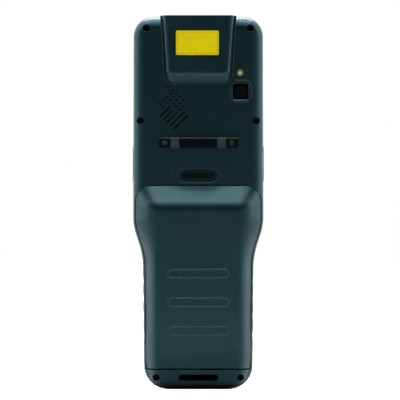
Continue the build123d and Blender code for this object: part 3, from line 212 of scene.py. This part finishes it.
# ------------------------------------------------------------- node helpers
class Nodes:
    """A node tree in the making, with short calls for its nodes."""

    def __init__(self, tree, coordinates):
        self.tree = tree
        self.tree.nodes.clear()
        self.place = self.add("ShaderNodeTexCoord").outputs[coordinates]

    def add(self, kind, **settings):
        node = self.tree.nodes.new(kind)
        for key, value in settings.items():
            setattr(node, key, value)
        return node

    def link(self, source, target):
        self.tree.links.new(source, target)

    def put(self, socket, value):
        """Sets a number or a colour on a socket, or links a source to it."""
        if isinstance(value, (int, float)):
            socket.default_value = value
        elif isinstance(value, tuple):
            socket.default_value = (*value, 1.0)
        else:
            self.link(value, socket)

    def axes(self):
        """The X, Y and Z of the point that is shaded."""
        node = self.add("ShaderNodeSeparateXYZ")
        self.link(self.place, node.inputs["Vector"])
        return node.outputs

    def span(self, source, low, high, to_low, to_high, **settings):
        """A value carried from one range to another, and held inside it."""
        node = self.add("ShaderNodeMapRange", **settings)
        node.inputs["From Min"].default_value = low
        node.inputs["From Max"].default_value = high
        node.inputs["To Min"].default_value = to_low
        node.inputs["To Max"].default_value = to_high
        self.link(source, node.inputs["Value"])
        return node.outputs["Result"]

    def math(self, operation, *values):
        """What a Math node makes of numbers and sources."""
        node = self.add("ShaderNodeMath", operation=operation)
        for socket, value in zip(node.inputs, values):
            self.put(socket, value)
        return node.outputs["Value"]

    def off(self, source, middle):
        """How far a value is from a middle, on either side."""
        return self.math("ABSOLUTE", self.math("SUBTRACT", source, middle))

    def length(self, across, up):
        """The length of the line that runs so far across and up."""
        squares = self.math("ADD", self.math("MULTIPLY", across, across),
                            self.math("MULTIPLY", up, up))
        return self.math("SQRT", squares)

    def highest(self, *sources):
        top = sources[0]
        for source in sources[1:]:
            top = self.math("MAXIMUM", top, source)
        return top


class Shading(Nodes):
    """A material in the making. Its points are in the object's own metres."""

    def __init__(self, name):
        self.material = bpy.data.materials.new(name)
        self.material.use_nodes = True
        super().__init__(self.material.node_tree, "Object")
        self.shader = self.add("ShaderNodeBsdfPrincipled")
        output = self.add("ShaderNodeOutputMaterial")
        self.link(self.shader.outputs["BSDF"], output.inputs["Surface"])

    def set(self, **values):
        """Numbers and colours that are the same all over the surface."""
        for key, value in values.items():
            self.shader.inputs[key.replace("_", " ")].default_value = value

    def feed(self, socket, source):
        self.link(source, self.shader.inputs[socket])

    def noise(self, scale, detail=2.0, stretch=None):
        """Noise at a number of grains per metre."""
        node = self.add("ShaderNodeTexNoise")
        node.inputs["Scale"].default_value = scale
        node.inputs["Detail"].default_value = detail
        source = self.place
        if stretch:
            mapping = self.add("ShaderNodeMapping")
            mapping.inputs["Scale"].default_value = stretch
            self.link(self.place, mapping.inputs["Vector"])
            source = mapping.outputs["Vector"]
        self.link(source, node.inputs["Vector"])
        return node.outputs["Fac"]

    def blend(self, factor, first, second):
        """Two colours, or two colour sources, mixed by a factor."""
        node = self.add("ShaderNodeMix", data_type="RGBA")
        self.link(factor, node.inputs["Factor"])
        for name, value in (("A", first), ("B", second)):
            socket = [s for s in node.inputs if s.name == name and s.type == "RGBA"][0]
            self.put(socket, value)
        return [s for s in node.outputs if s.type == "RGBA"][0]

    def fade(self, source, low, high, first, second, most=1.0):
        """A first colour that turns into a second as a value goes from low to high.

        The share of the second colour ends at most.
        """
        return self.blend(self.span(source, low, high, 0.0, most), first, second)

    def rounded(self, radius):
        """The surface's normal as if its edges were rounded."""
        bevel = self.add("ShaderNodeBevel", samples=4)
        bevel.inputs["Radius"].default_value = radius
        return bevel.outputs["Normal"]

    def turn(self, rounded_normal):
        """How far the surface turns from its rounded normal: 0 on flat ground."""
        geometry = self.add("ShaderNodeNewGeometry")
        dot = self.add("ShaderNodeVectorMath", operation="DOT_PRODUCT")
        self.link(rounded_normal, dot.inputs[0])
        self.link(geometry.outputs["Normal"], dot.inputs[1])
        return self.math("SUBTRACT", 1.0, dot.outputs["Value"])

    def bump(self, height, distance, strength, normal=None):
        node = self.add("ShaderNodeBump")
        node.inputs["Distance"].default_value = distance
        node.inputs["Strength"].default_value = strength
        self.link(height, node.inputs["Height"])
        if normal:
            self.link(normal, node.inputs["Normal"])
        return node.outputs["Normal"]


def tinted(colour, factor):
    """A colour made lighter or darker by a factor."""
    return tuple(min(1.0, channel * factor) for channel in colour)


# ---------------------------------------------- areas and lines on the part
def outside_of(look, x, z, half_width, half_height):
    """0 inside a patch, and 1 outside its soft edge."""
    soft_edge = 0.6 * MM
    axes = look.axes()
    beyond = []
    for axis, middle, half in (("X", x, half_width), ("Z", z, half_height)):
        off = look.off(axes[axis], middle)
        beyond.append(look.span(off, half, half + soft_edge, 0.0, 1.0))
    return look.highest(*beyond)


def inside_of(look, *patch):
    return look.math("SUBTRACT", 1.0, outside_of(look, *patch))


def distance_from(look, x, z):
    """How far a point of the surface is from a line along Y."""
    axes = look.axes()
    return look.length(look.math("SUBTRACT", axes["X"], x), look.math("SUBTRACT", axes["Z"], z))


def oblong_line(look, x, z, half_run, radius):
    """1 on a thin line round an oblong with round ends, and 0 away from it."""
    solid, soft = 0.2 * MM, 0.5 * MM
    axes = look.axes()
    across = look.math("SUBTRACT", look.off(axes["X"], x), half_run)
    across = look.math("MAXIMUM", across, 0.0)
    reach = look.length(across, look.math("SUBTRACT", axes["Z"], z))
    return look.span(look.off(reach, radius), solid, soft, 1.0, 0.0)


def cover_line_highlights(look):
    """The raised outlines of the three grip marks, with a painted highlight on them."""
    marks = [
        oblong_line(look, 0.0, GRIP_MARK_Z + step * GRIP_MARK_PITCH, GRIP_MARK_HALF_RUN,
                    GRIP_MARK_RADIUS)
        for step in (-1, 0, 1)
    ]
    return look.math("MULTIPLY", look.highest(*marks), COVER_LINE_HIGHLIGHT)


def rear_line_highlights(look):
    """Painted highlights along the latch recess's edge, mostly at its foot, the hump's lip and
    the camera's low rim.
    """
    latch = oblong_line(look, 0.0, LATCH_Z, LATCH_HALF_RUN, LATCH_RADIUS)
    low = look.span(inside_of(look, *LATCH_LOW_PATCH), 0.0, 1.0, LATCH_LINE_HIGH, 1.0)
    latch = look.math("MULTIPLY", latch, low)
    lip = inside_of(look, *HUMP_LIP_PATCH)
    rim = inside_of(look, *CAMERA_RIM_PATCH)
    return look.math("MULTIPLY", look.highest(latch, lip, rim), REAR_LINE_HIGHLIGHT)


# ---------------------------------------------------------- kinds of material
def top_edge_highlight(look, base, rim_z, scuffs):
    """The base colour, painted grey near rim_z and above it: a painted highlight along the top
    edge.
    """
    start, full = rim_z - 0.8 * MM, rim_z - 0.4 * MM
    edge = look.span(look.axes()["Z"], start, full, 0.0, 0.8)
    return look.blend(look.math("MULTIPLY", edge, scuffs), base, TOP_EDGE_HIGHLIGHT)


def moulded(name, colour, roughness, grain=2600.0, bevel=0.4 * MM, wear=0.25,
            specular=0.5, gloss_tint=WHITE, rub=None, quiet=None, rim_z=None,
            lines=None, shade_patch=None):
    """Moulded plastic: fine grain, faint cloudiness, and edges lighter from wear and a painted
    highlight.

    The lighter edges reach as far as rub, or as the bevel where none is given, and are
    left out in the quiet patch. The top edge at rim_z gets a painted highlight, lines(look)
    says where raised lines get a painted highlight, and one patch is painted dark as painted
    shade.
    """
    look = Shading(name)
    speckle = look.noise(grain)
    base = look.fade(look.noise(28.0, 3.0), *NOISE_SPAN, tinted(colour, 0.92),
                     tinted(colour, 1.08))
    base = look.fade(speckle, 0.35, 0.65, base, tinted(colour, 1.18), most=0.5)
    normal = look.rounded(bevel)
    turn = look.turn(look.rounded(rub) if rub else normal)
    scuffs = look.span(look.noise(380.0, 4.0), 0.40, 0.62, 0.6, 1.0)
    rubbed_and_highlit = look.math("MULTIPLY", look.span(turn, 0.01, 0.12, 0.0, wear), scuffs)
    if quiet:
        rubbed_and_highlit = look.math("MULTIPLY", rubbed_and_highlit, outside_of(look, *quiet))
    # Lighter edges: partly rubbed wear, partly a painted highlight.
    base = look.blend(rubbed_and_highlit, base, tinted(colour, 2.8))
    # A painted highlight along the top edge at rim_z.
    if rim_z:
        base = top_edge_highlight(look, base, rim_z, scuffs)
    # Raised lines and rims get a painted highlight.
    if lines:
        base = look.blend(lines(look), base, LINE_HIGHLIGHT_COLOUR)
    # The given patch is painted dark: painted shade.
    if shade_patch:
        base = look.blend(inside_of(look, *shade_patch), base, tinted(colour, 0.08))
    look.feed("Base Color", base)
    smooth = look.span(look.noise(150.0, 4.0), *NOISE_SPAN, roughness - 0.04, roughness + 0.05)
    polished = look.math("MULTIPLY", rubbed_and_highlit, 0.3)
    look.feed("Roughness", look.math("SUBTRACT", smooth, polished))
    look.feed("Normal", look.bump(speckle, 0.02 * MM, 0.6, normal))
    look.set(Specular_IOR_Level=specular, Specular_Tint=(*gloss_tint, 1.0))
    return look.material


def rubber(name, colour):
    """Dull rubber with specks of dust and edges worn a little lighter."""
    look = Shading(name)
    dust = look.noise(1400.0, 4.0)
    base = look.fade(look.noise(60.0, 3.0), 0.35, 0.65, tinted(colour, 0.85),
                     tinted(colour, 1.15))
    base = look.fade(dust, 0.6, 0.8, base, tinted(colour, 3.0), most=0.35)
    normal = look.rounded(0.3 * MM)
    base = look.fade(look.turn(normal), 0.05, 0.4, base, tinted(colour, 2.5), most=0.3)
    look.feed("Base Color", base)
    look.feed("Roughness", look.span(dust, *NOISE_SPAN, 0.62, 0.8))
    look.feed("Normal", look.bump(dust, 0.03 * MM, 0.7, normal))
    return look.material


def metal(name, colour, roughness, wear, stretch=(1.0, 1.0, 1.0)):
    """Metal with fine brushing, drawn out by the stretch, and edges worn brighter."""
    look = Shading(name)
    brush = look.noise(1500.0, 3.0, stretch)
    base = look.fade(look.noise(200.0, 3.0), 0.35, 0.7, tinted(colour, 0.85), colour)
    normal = look.rounded(0.15 * MM)
    base = look.fade(look.turn(normal), 0.03, 0.3, base, tinted(colour, wear), most=0.8)
    look.feed("Base Color", base)
    look.feed("Roughness", look.span(brush, *NOISE_SPAN, roughness - 0.07, roughness + 0.1))
    look.feed("Normal", look.bump(brush, 0.01 * MM, 0.5, normal))
    look.set(Metallic=1.0)
    return look.material


def dark_glass(name, colour, smudge=0.12):
    """Dark glass with faint finger smudges in its gloss."""
    clean = 0.08
    look = Shading(name)
    smears = look.noise(70.0, 5.0, (1.0, 1.0, 0.6))
    base = look.fade(smears, 0.4, 0.7, colour, tinted(colour, 1.5))
    base = look.fade(look.noise(2200.0), 0.68, 0.8, base, DUST, most=0.25)
    look.feed("Base Color", base)
    look.feed("Roughness", look.span(smears, 0.4, 0.75, clean, clean + smudge))
    look.feed("Normal", look.bump(smears, 0.004 * MM, 0.2, look.rounded(0.2 * MM)))
    look.set(Specular_IOR_Level=0.4)
    return look.material


def glowing_lens(name, colour, haze):
    """A clouded lens over a light: milky, with a ribbed depth."""
    look = Shading(name)
    rings = look.noise(900.0, 3.0)
    look.feed("Base Color", look.fade(look.noise(250.0), *NOISE_SPAN, colour, haze))
    look.feed("Roughness", look.span(rings, *NOISE_SPAN, 0.15, 0.3))
    look.feed("Normal", look.bump(rings, 0.03 * MM, 0.4))
    look.set(Coat_Weight=0.5, Coat_Roughness=0.05)
    return look.material


# --------------------------------------------------- materials with one use
def touch_glass():
    """The front glass: black print round a faintly lighter screen area."""
    edge = 0.2 * MM
    look = Shading("front_glass")
    axes = look.axes()
    across = look.math("ABSOLUTE", axes["X"])
    up = look.off(axes["Z"], SCREEN_Z)
    screen = look.math(
        "MULTIPLY",
        look.span(across, SCREEN_HALF_WIDTH, SCREEN_HALF_WIDTH + edge, 1.0, 0.0),
        look.span(up, SCREEN_HALF_HEIGHT, SCREEN_HALF_HEIGHT + edge, 1.0, 0.0),
    )
    base = look.blend(screen, SURROUND_BLACK, SCREEN_BLACK)
    base = look.fade(look.noise(2400.0), 0.7, 0.8, base, DUST, most=0.2)
    smears = look.noise(55.0, 5.0, (1.0, 1.0, 0.7))
    look.feed("Base Color", base)
    look.feed("Roughness", look.span(smears, 0.42, 0.75, 0.04, 0.2))
    look.feed("Normal", look.bump(smears, 0.003 * MM, 0.15))
    look.set(Specular_IOR_Level=0.5, Coat_Weight=0.6, Coat_Roughness=0.02)
    return look.material


def yellow_label():
    """A plain yellow printed plate with a thin darker line inside its edge."""
    look = Shading("yellow_plate")
    axes = look.axes()
    centre, half = (LABEL_LOW + LABEL_HIGH) / 2, (LABEL_HIGH - LABEL_LOW) / 2
    inset = look.math(
        "MINIMUM",
        look.math("SUBTRACT", half.x, look.off(axes["X"], centre.x)),
        look.math("SUBTRACT", half.z, look.off(axes["Z"], centre.z)),
    )
    line = look.span(look.off(inset, LABEL_LINE_INSET), 0.08 * MM, 0.16 * MM, 0.75, 0.0)
    ink = look.noise(420.0, 4.0)
    fibre = look.noise(2600.0)
    yellow = look.fade(ink, *NOISE_SPAN, LABEL_YELLOW, LABEL_PALE)
    yellow = look.fade(fibre, 0.4, 0.7, yellow, LABEL_FIBRE, most=0.25)
    look.feed("Base Color", look.blend(line, yellow, LABEL_LINE))
    look.feed("Roughness", look.span(ink, *NOISE_SPAN, 0.38, 0.5))
    look.feed("Normal", look.bump(fibre, 0.01 * MM, 0.4))
    look.set(Specular_IOR_Level=0.12)
    return look.material


def circuit_green():
    """A board's green mask, with lighter traces that stand a little proud."""
    look = Shading("circuit_green")
    traces = look.add("ShaderNodeTexVoronoi", feature="DISTANCE_TO_EDGE")
    traces.inputs["Scale"].default_value = 520.0
    look.link(look.place, traces.inputs["Vector"])
    lines = look.span(traces.outputs["Distance"], 0.02, 0.06, 1.0, 0.0)
    mask = look.noise(90.0, 3.0)
    base = look.fade(mask, *NOISE_SPAN, (0.004, 0.05, 0.018), (0.006, 0.075, 0.028))
    look.feed("Base Color", look.blend(lines, base, (0.02, 0.16, 0.06)))
    look.feed("Roughness", look.span(mask, *NOISE_SPAN, 0.3, 0.45))
    look.feed("Normal", look.bump(lines, 0.03 * MM, 0.5))
    look.set(Coat_Weight=0.4, Coat_Roughness=0.15)
    return look.material


def wire_mesh():
    """Fine woven wire, as behind the sound holes."""
    look = Shading("wire_mesh")
    waves = [look.add("ShaderNodeTexWave", bands_direction=axis, wave_type="BANDS")
             for axis in ("X", "Z")]
    for wave in waves:
        wave.inputs["Scale"].default_value = 900.0
        look.link(look.place, wave.inputs["Vector"])
    weave = look.math("MULTIPLY", *(wave.outputs["Fac"] for wave in waves))
    look.feed("Base Color", look.blend(weave, (0.004, 0.004, 0.004), (0.03, 0.032, 0.034)))
    look.feed("Roughness", look.span(weave, 0.0, 1.0, 0.6, 0.4))
    look.feed("Normal", look.bump(weave, 0.05 * MM, 0.8))
    look.set(Metallic=0.6)
    return look.material


def cell_wrap():
    """The creased foil round the battery cells."""
    look = Shading("cell_wrap")
    creases = look.noise(160.0, 6.0, (1.0, 1.0, 0.25))
    look.feed("Base Color",
              look.fade(creases, 0.35, 0.65, (0.09, 0.10, 0.12), (0.15, 0.16, 0.18)))
    look.feed("Roughness", look.span(look.noise(1800.0), *NOISE_SPAN, 0.25, 0.4))
    look.feed("Normal", look.bump(creases, 0.2 * MM, 0.5))
    look.set(Metallic=0.7)
    return look.material


def camera_glass():
    """Black camera glass over the faint rings of its lens, with a painted red glint in its
    middle.
    """
    look = Shading("camera_glass")
    reach = distance_from(look, CAMERA.x, CAMERA.z)
    # A reddish middle: a painted glint.
    base = look.fade(reach, 0.55 * MM, 0.75 * MM, (0.010, 0.003, 0.003),
                     (0.0020, 0.0022, 0.0024))
    rings = ((1.5 * MM, (0.010, 0.011, 0.012)), (2.5 * MM, (0.014, 0.015, 0.016)))
    for radius, colour in rings:
        ring = look.span(look.off(reach, radius), 0.05 * MM, 0.18 * MM, 1.0, 0.0)
        base = look.blend(ring, base, colour)
    smears = look.noise(320.0, 4.0)
    look.feed("Base Color", base)
    look.feed("Roughness", look.span(smears, 0.4, 0.75, 0.05, 0.12))
    look.feed("Normal", look.bump(smears, 0.003 * MM, 0.2))
    look.set(Specular_IOR_Level=0.4, Coat_Weight=0.2, Coat_Roughness=0.03)
    return look.material


def flash_lens():
    """A lamp lens: a pale core that is a painted highlight, a yellow ring and a dark edge."""
    look = Shading("flash_lens")
    reach = distance_from(look, FLASH.x, FLASH.z)
    ridges = look.noise(1600.0, 3.0)
    # The pale core is a painted highlight.
    base = look.fade(ridges, *NOISE_SPAN, (0.40, 0.39, 0.27), (0.56, 0.54, 0.40))
    base = look.fade(reach, 0.40 * MM, 0.85 * MM, base, (0.15, 0.14, 0.045))
    base = look.fade(reach, 1.45 * MM, 1.8 * MM, base, (0.020, 0.021, 0.012))
    look.feed("Base Color", base)
    look.feed("Roughness", look.span(ridges, *NOISE_SPAN, 0.15, 0.3))
    look.feed("Normal", look.bump(ridges, 0.04 * MM, 0.5))
    look.set(Coat_Weight=0.3, Coat_Roughness=0.08)
    return look.material


# The looks of the record's material slots.
MATERIALS = {
    "rear_plastic": moulded("teal_rear", TEAL, 0.33, wear=0.9, rub=0.8 * MM,
                            quiet=GRILLE_PATCH, lines=rear_line_highlights, shade_patch=SLOT_SHADE_PATCH,
                            **TEAL_GLOSS),
    "front_plastic": moulded("teal_front", TEAL, 0.36, **TEAL_GLOSS),
    "cover_plastic": moulded("teal_cover", COVER_TEAL, 0.34, wear=0.35, rub=0.8 * MM,
                             lines=cover_line_highlights, **TEAL_GLOSS),
    "foot_plastic": moulded("black_foot", FOOT_BLACK, 0.5, wear=0.15, specular=0.25),
    # The bridge's top edge gets a painted highlight.
    "bridge_plastic": moulded("black_bridge", BRIDGE_BLACK, 0.27, grain=3600.0,
                              bevel=0.3 * MM, specular=0.14, gloss_tint=(0.7, 1.0, 1.0),
                              rim_z=BRIDGE_HIGH.z),
    "black_rubber": rubber("black_rubber", RUBBER_BLACK),
    "orange_key": moulded("orange_key", KEY_ORANGE, 0.5, wear=0.1, specular=0.3),
    "grey_key": moulded("grey_key", KEY_GREY, 0.45, wear=0.15),
    "screen_glass": touch_glass(),
    "display": dark_glass("display_panel", DISPLAY_BLACK),
    "steel_mesh": wire_mesh(),
    "light_lens": glowing_lens("light_lens", LIGHT_GREEN, LIGHT_HAZE),
    "circuit_board": circuit_green(),
    "shield_metal": metal("shield_tin", SHIELD_TIN, 0.32, wear=1.5, stretch=(1.0, 1.0, 6.0)),
    "scan_glass": dark_glass("scan_red_glass", SCAN_RED, smudge=0.3),
    "module_plastic": moulded("module_black", MODULE_BLACK, 0.5, wear=0.15),
    "label_yellow": yellow_label(),
    "camera_glass": camera_glass(),
    "flash_plastic": flash_lens(),
    "screw_steel": metal("screw_black", SCREW_BLACK, 0.38, wear=3.0),
    "contact_metal": metal("contact_gold", CONTACT_GOLD, 0.25, wear=1.15,
                           stretch=(6.0, 1.0, 1.0)),
    "cell_wrap": cell_wrap(),
}

BRIGHT_SCREWS = metal("screw_bright", SCREW_BRIGHT, 0.34, wear=3.5)
LEGEND_MATERIAL = moulded("legend_white", LEGEND_WHITE, 0.5, wear=0.05)
MARK_MATERIAL = moulded("mark_grey", MARK_GREY, 0.45, wear=0.1, specular=0.3,
                        gloss_tint=GLOSS_TINT)
# The sheet of painted shade in the strap slot.
SHADE_SHEET_MATERIAL = moulded("slot_shade_black", SLOT_SHADE_BLACK, 0.6, wear=0.1, specular=0.03)


def dress_nodes():
    """Every CAD node gets the look of its material slot. The strap's screws are brighter."""
    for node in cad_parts.values():
        for slot in node.material_slots:
            slot.material = MATERIALS[slot.material.name.split(".")[0]]
    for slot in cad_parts["strap_screws"].material_slots:
        slot.material = BRIGHT_SCREWS


# ------------------------------------------------------------- small pieces
def mesh_piece(name, vertices, faces, material, body):
    """A piece of one material that rides on a body."""
    mesh = bpy.data.meshes.new(name)
    mesh.from_pydata(vertices, [], faces)
    mesh.update()
    piece = bpy.data.objects.new(name, mesh)
    bpy.context.scene.collection.objects.link(piece)
    piece.data.materials.append(material)
    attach(piece, body)


def plate(points, low_y, high_y):
    """Vertices and faces of a flat shape drawn in (X, Z), between two depths."""
    count = len(points)
    vertices = [(x, low_y, z) for x, z in points] + [(x, high_y, z) for x, z in points]
    faces = [tuple(range(count)), tuple(range(2 * count - 1, count - 1, -1))]
    for i in range(count):
        j = (i + 1) % count
        faces.append((i, i + count, j + count, j))
    return vertices, faces


def printed(points, x, z, face_y):
    """Vertices and faces of a thin print, half sunk in a face that looks along Y."""
    moved = [(x + px, z + pz) for px, pz in points]
    return plate(moved, face_y - PRINT_HEIGHT, face_y + PRINT_HEIGHT)


def joined(shapes):
    """Several sets of vertices and faces as one."""
    vertices, faces = [], []
    for more_vertices, more_faces in shapes:
        start = len(vertices)
        vertices += more_vertices
        faces += [tuple(i + start for i in face) for face in more_faces]
    return vertices, faces


def bar(x, z, width, height):
    """The corners of a rectangle round its middle."""
    return [(x - width / 2, z - height / 2), (x + width / 2, z - height / 2),
            (x + width / 2, z + height / 2), (x - width / 2, z + height / 2)]


def ring_parts(x, z, radius, width, start, end, count):
    """A ring or a part of one, cut into small four-sided shapes."""
    parts = []
    for i in range(count):
        first = math.radians(start + (end - start) * i / count)
        last = math.radians(start + (end - start) * (i + 1) / count)
        inner, outer = radius - width / 2, radius + width / 2
        parts.append([
            (x + inner * math.cos(first), z + inner * math.sin(first)),
            (x + outer * math.cos(first), z + outer * math.sin(first)),
            (x + outer * math.cos(last), z + outer * math.sin(last)),
            (x + inner * math.cos(last), z + inner * math.sin(last)),
        ])
    return parts


def arrow(turn):
    """The corners of a triangle that points up, turned by an angle in degrees."""
    cosine, sine = math.cos(math.radians(turn)), math.sin(math.radians(turn))
    return [(x * cosine - z * sine, x * sine + z * cosine) for x, z in ARROW_CORNERS]


def bar_code():
    """A row of bars of several widths, as on a scan key."""
    bars = []
    x = CODE_START_X
    for width in CODE_WIDTHS:
        bars.append(bar(x + width / 2, 0, width, CODE_HEIGHT))
        x += width + CODE_SPACE
    return bars


def key_face(key):
    """The middle of a key's outer face, which looks along -Y."""
    centre = middle(key)
    return centre.x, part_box(key)[0].y, centre.z


def key_print(name, parts, key):
    """A sign on a key, from shapes drawn round the key's middle."""
    x, y, z = key_face(key)
    shapes = [printed(points, x, z, y) for points in parts]
    mesh_piece(name, *joined(shapes), LEGEND_MATERIAL, key)


def key_numeral(name, text, key):
    """A figure on a key, made from Blender's built-in letters."""
    letters = bpy.data.curves.new(name, "FONT")
    letters.body = text
    letters.size = NUMERAL_SIZE
    letters.align_x = "CENTER"
    letters.align_y = "CENTER"
    letters.extrude = PRINT_HEIGHT
    holder = bpy.data.objects.new(name + "_letters", letters)
    bpy.context.scene.collection.objects.link(holder)
    bpy.context.view_layer.update()
    drawn = bpy.data.meshes.new_from_object(holder)
    x, y, z = key_face(key)
    vertices = [(x + v.co.x, y - v.co.z, z + v.co.y) for v in drawn.vertices]
    faces = [tuple(polygon.vertices) for polygon in drawn.polygons]
    bpy.data.objects.remove(holder)
    bpy.data.meshes.remove(drawn)
    bpy.data.curves.remove(letters)
    mesh_piece(name, vertices, faces, LEGEND_MATERIAL, key)


def print_key_rows():
    """Arrows on the first row of keys, and figures on the others."""
    for row, signs in enumerate(KEY_SIGNS, start=1):
        for column, sign in enumerate(signs, start=1):
            place = f"row{row}_col{column}"
            if sign in ARROW_TURNS:
                key_print("print_" + place, [arrow(ARROW_TURNS[sign])], "key_" + place)
            else:
                key_numeral("print_" + place, sign, "key_" + place)


def print_top_keys():
    """A menu sign, a ring and a bar code on the three keys under the screen."""
    menu = [bar(0, step * MENU_BAR_PITCH, MENU_BAR_WIDTH, STROKE) for step in (-1, 0, 1)]
    key_print("print_soft_left", menu, "soft_key_left")
    ring = ring_parts(0, 0, RING_RADIUS, STROKE, 0, 360, RING_STEPS)
    key_print("print_soft_right", ring, "soft_key_right")
    key_print("print_scan", bar_code(), "scan_key_front")


def slot_shade_sheet():
    """A black sheet with round ends at the back wall of the strap slot in the chin: painted
    shade.
    """
    points = []
    for side, start in ((1, 90), (-1, 270)):
        for step in range(SHADE_SHEET_END_STEPS + 1):
            angle = math.radians(start - 180 * step / SHADE_SHEET_END_STEPS)
            points.append((side * SHADE_SHEET_HALF_RUN + SHADE_SHEET_RADIUS * math.cos(angle),
                           SLOT_Z + SHADE_SHEET_RADIUS * math.sin(angle)))
    vertices, faces = plate(points, SHADE_SHEET_LOW_Y, SHADE_SHEET_HIGH_Y)
    mesh_piece("slot_shade_sheet", vertices, faces, SHADE_SHEET_MATERIAL, "housing")


def lock_mark(name, place, lean):
    """A small padlock moulded beside the latch. Its loop is shut or leans open."""
    parts = [bar(0, LOCK_BODY_Z, LOCK_BODY_WIDTH, LOCK_BODY_HEIGHT)]
    parts += ring_parts(lean, LOCK_LOOP_Z, LOCK_LOOP_RADIUS, LOCK_LOOP_WIDTH, 0, 180,
                        LOCK_LOOP_STEPS)
    shapes = [printed(points, *place, BACK_Y) for points in parts]
    mesh_piece(name, *joined(shapes), MARK_MATERIAL, "housing")


# ---------------------------------------------------------------- the stage
def make_floor():
    """A pale round floor, wide enough for every view.

    It glows to the camera alone, and throws light back as plain grey would.
    """
    points = []
    for i in range(FLOOR_SIDES):
        angle = 2 * math.pi * i / FLOOR_SIDES
        points.append((FLOOR_RADIUS * math.cos(angle), FLOOR_RADIUS * math.sin(angle), 0.0))
    mesh = bpy.data.meshes.new("floor")
    mesh.from_pydata(points, [], [tuple(range(FLOOR_SIDES))])
    floor = bpy.data.objects.new("floor", mesh)
    bpy.context.scene.collection.objects.link(floor)
    look = Shading("pale_floor")
    grain = look.noise(40.0, 4.0)
    seen = look.add("ShaderNodeLightPath").outputs["Is Camera Ray"]
    pale = look.blend(grain, (0.50, 0.50, 0.50), (0.54, 0.54, 0.54))
    look.feed("Base Color", look.blend(seen, (FLOOR_BOUNCE,) * 3, pale))
    look.feed("Roughness", look.span(grain, *NOISE_SPAN, 0.75, 0.85))
    look.feed("Emission Strength", look.math("MULTIPLY", seen, FLOOR_GLOW))
    look.set(Specular_IOR_Level=0.2, Emission_Color=(*WHITE, 1.0))
    floor.data.materials.append(look.material)


def make_world():
    """A studio that the camera sees white.

    It lights the terminal from behind and beside, as the photograph sees it.
    """
    world = bpy.data.worlds.new("studio")
    bpy.context.scene.world = world
    world.use_nodes = True
    nodes = Nodes(world.node_tree, "Generated")
    y = nodes.axes()["Y"]
    strength = BEHIND
    steps = ((BEHIND_TO_BESIDE, BESIDE - BEHIND), (BESIDE_TO_BEFORE, BEFORE - BESIDE))
    for (low, high), step in steps:
        change = nodes.span(y, low, high, 0.0, step, interpolation_type="SMOOTHSTEP")
        strength = nodes.math("ADD", change, strength)
    lit = nodes.add("ShaderNodeBackground")
    nodes.put(lit.inputs["Color"], STUDIO_LIGHT)
    nodes.put(lit.inputs["Strength"], strength)
    seen = nodes.add("ShaderNodeBackground")
    nodes.put(seen.inputs["Color"], WHITE)
    nodes.put(seen.inputs["Strength"], 1.0)
    mix = nodes.add("ShaderNodeMixShader")
    nodes.link(nodes.add("ShaderNodeLightPath").outputs["Is Camera Ray"], mix.inputs["Fac"])
    nodes.link(lit.outputs["Background"], mix.inputs[1])
    nodes.link(seen.outputs["Background"], mix.inputs[2])
    output = nodes.add("ShaderNodeOutputWorld")
    nodes.link(mix.outputs["Shader"], output.inputs["Surface"])


def make_camera():
    """A long lens square to the back, at about the height of its middle."""
    data = bpy.data.cameras.new("camera")
    data.lens = LENS
    data.sensor_width = SENSOR
    data.dof.use_dof = False
    camera = bpy.data.objects.new("camera", data)
    distance = VIEW_WIDTH * LENS / SENSOR
    camera.location = (VIEW_CENTRE_X, distance, VIEW_CENTRE_Z)
    camera.rotation_euler = (math.radians(90), 0, math.radians(180))
    bpy.context.scene.collection.objects.link(camera)
    bpy.context.scene.camera = camera


def softbox(name, place, target, width, height, power):
    """A large soft light that faces a point."""
    data = bpy.data.lights.new(name, "AREA")
    data.shape = "RECTANGLE"
    data.size = width
    data.size_y = height
    data.energy = power
    light = bpy.data.objects.new(name, data)
    light.location = place
    aim = Vector(target) - Vector(place)
    light.rotation_euler = aim.to_track_quat("-Z", "Y").to_euler()
    light.visible_camera = False
    bpy.context.scene.collection.objects.link(light)


# ------------------------------------------------------------------- build
dress_nodes()
print_key_rows()
print_top_keys()
slot_shade_sheet()
lock_mark("lock_shut", LOCK_SHUT, 0.0)
lock_mark("lock_open", LOCK_OPEN, LOCK_LEAN)
make_floor()
make_world()
make_camera()
for box in SOFTBOXES:
    softbox(*box)
bpy.context.scene.view_settings.view_transform = "Standard"
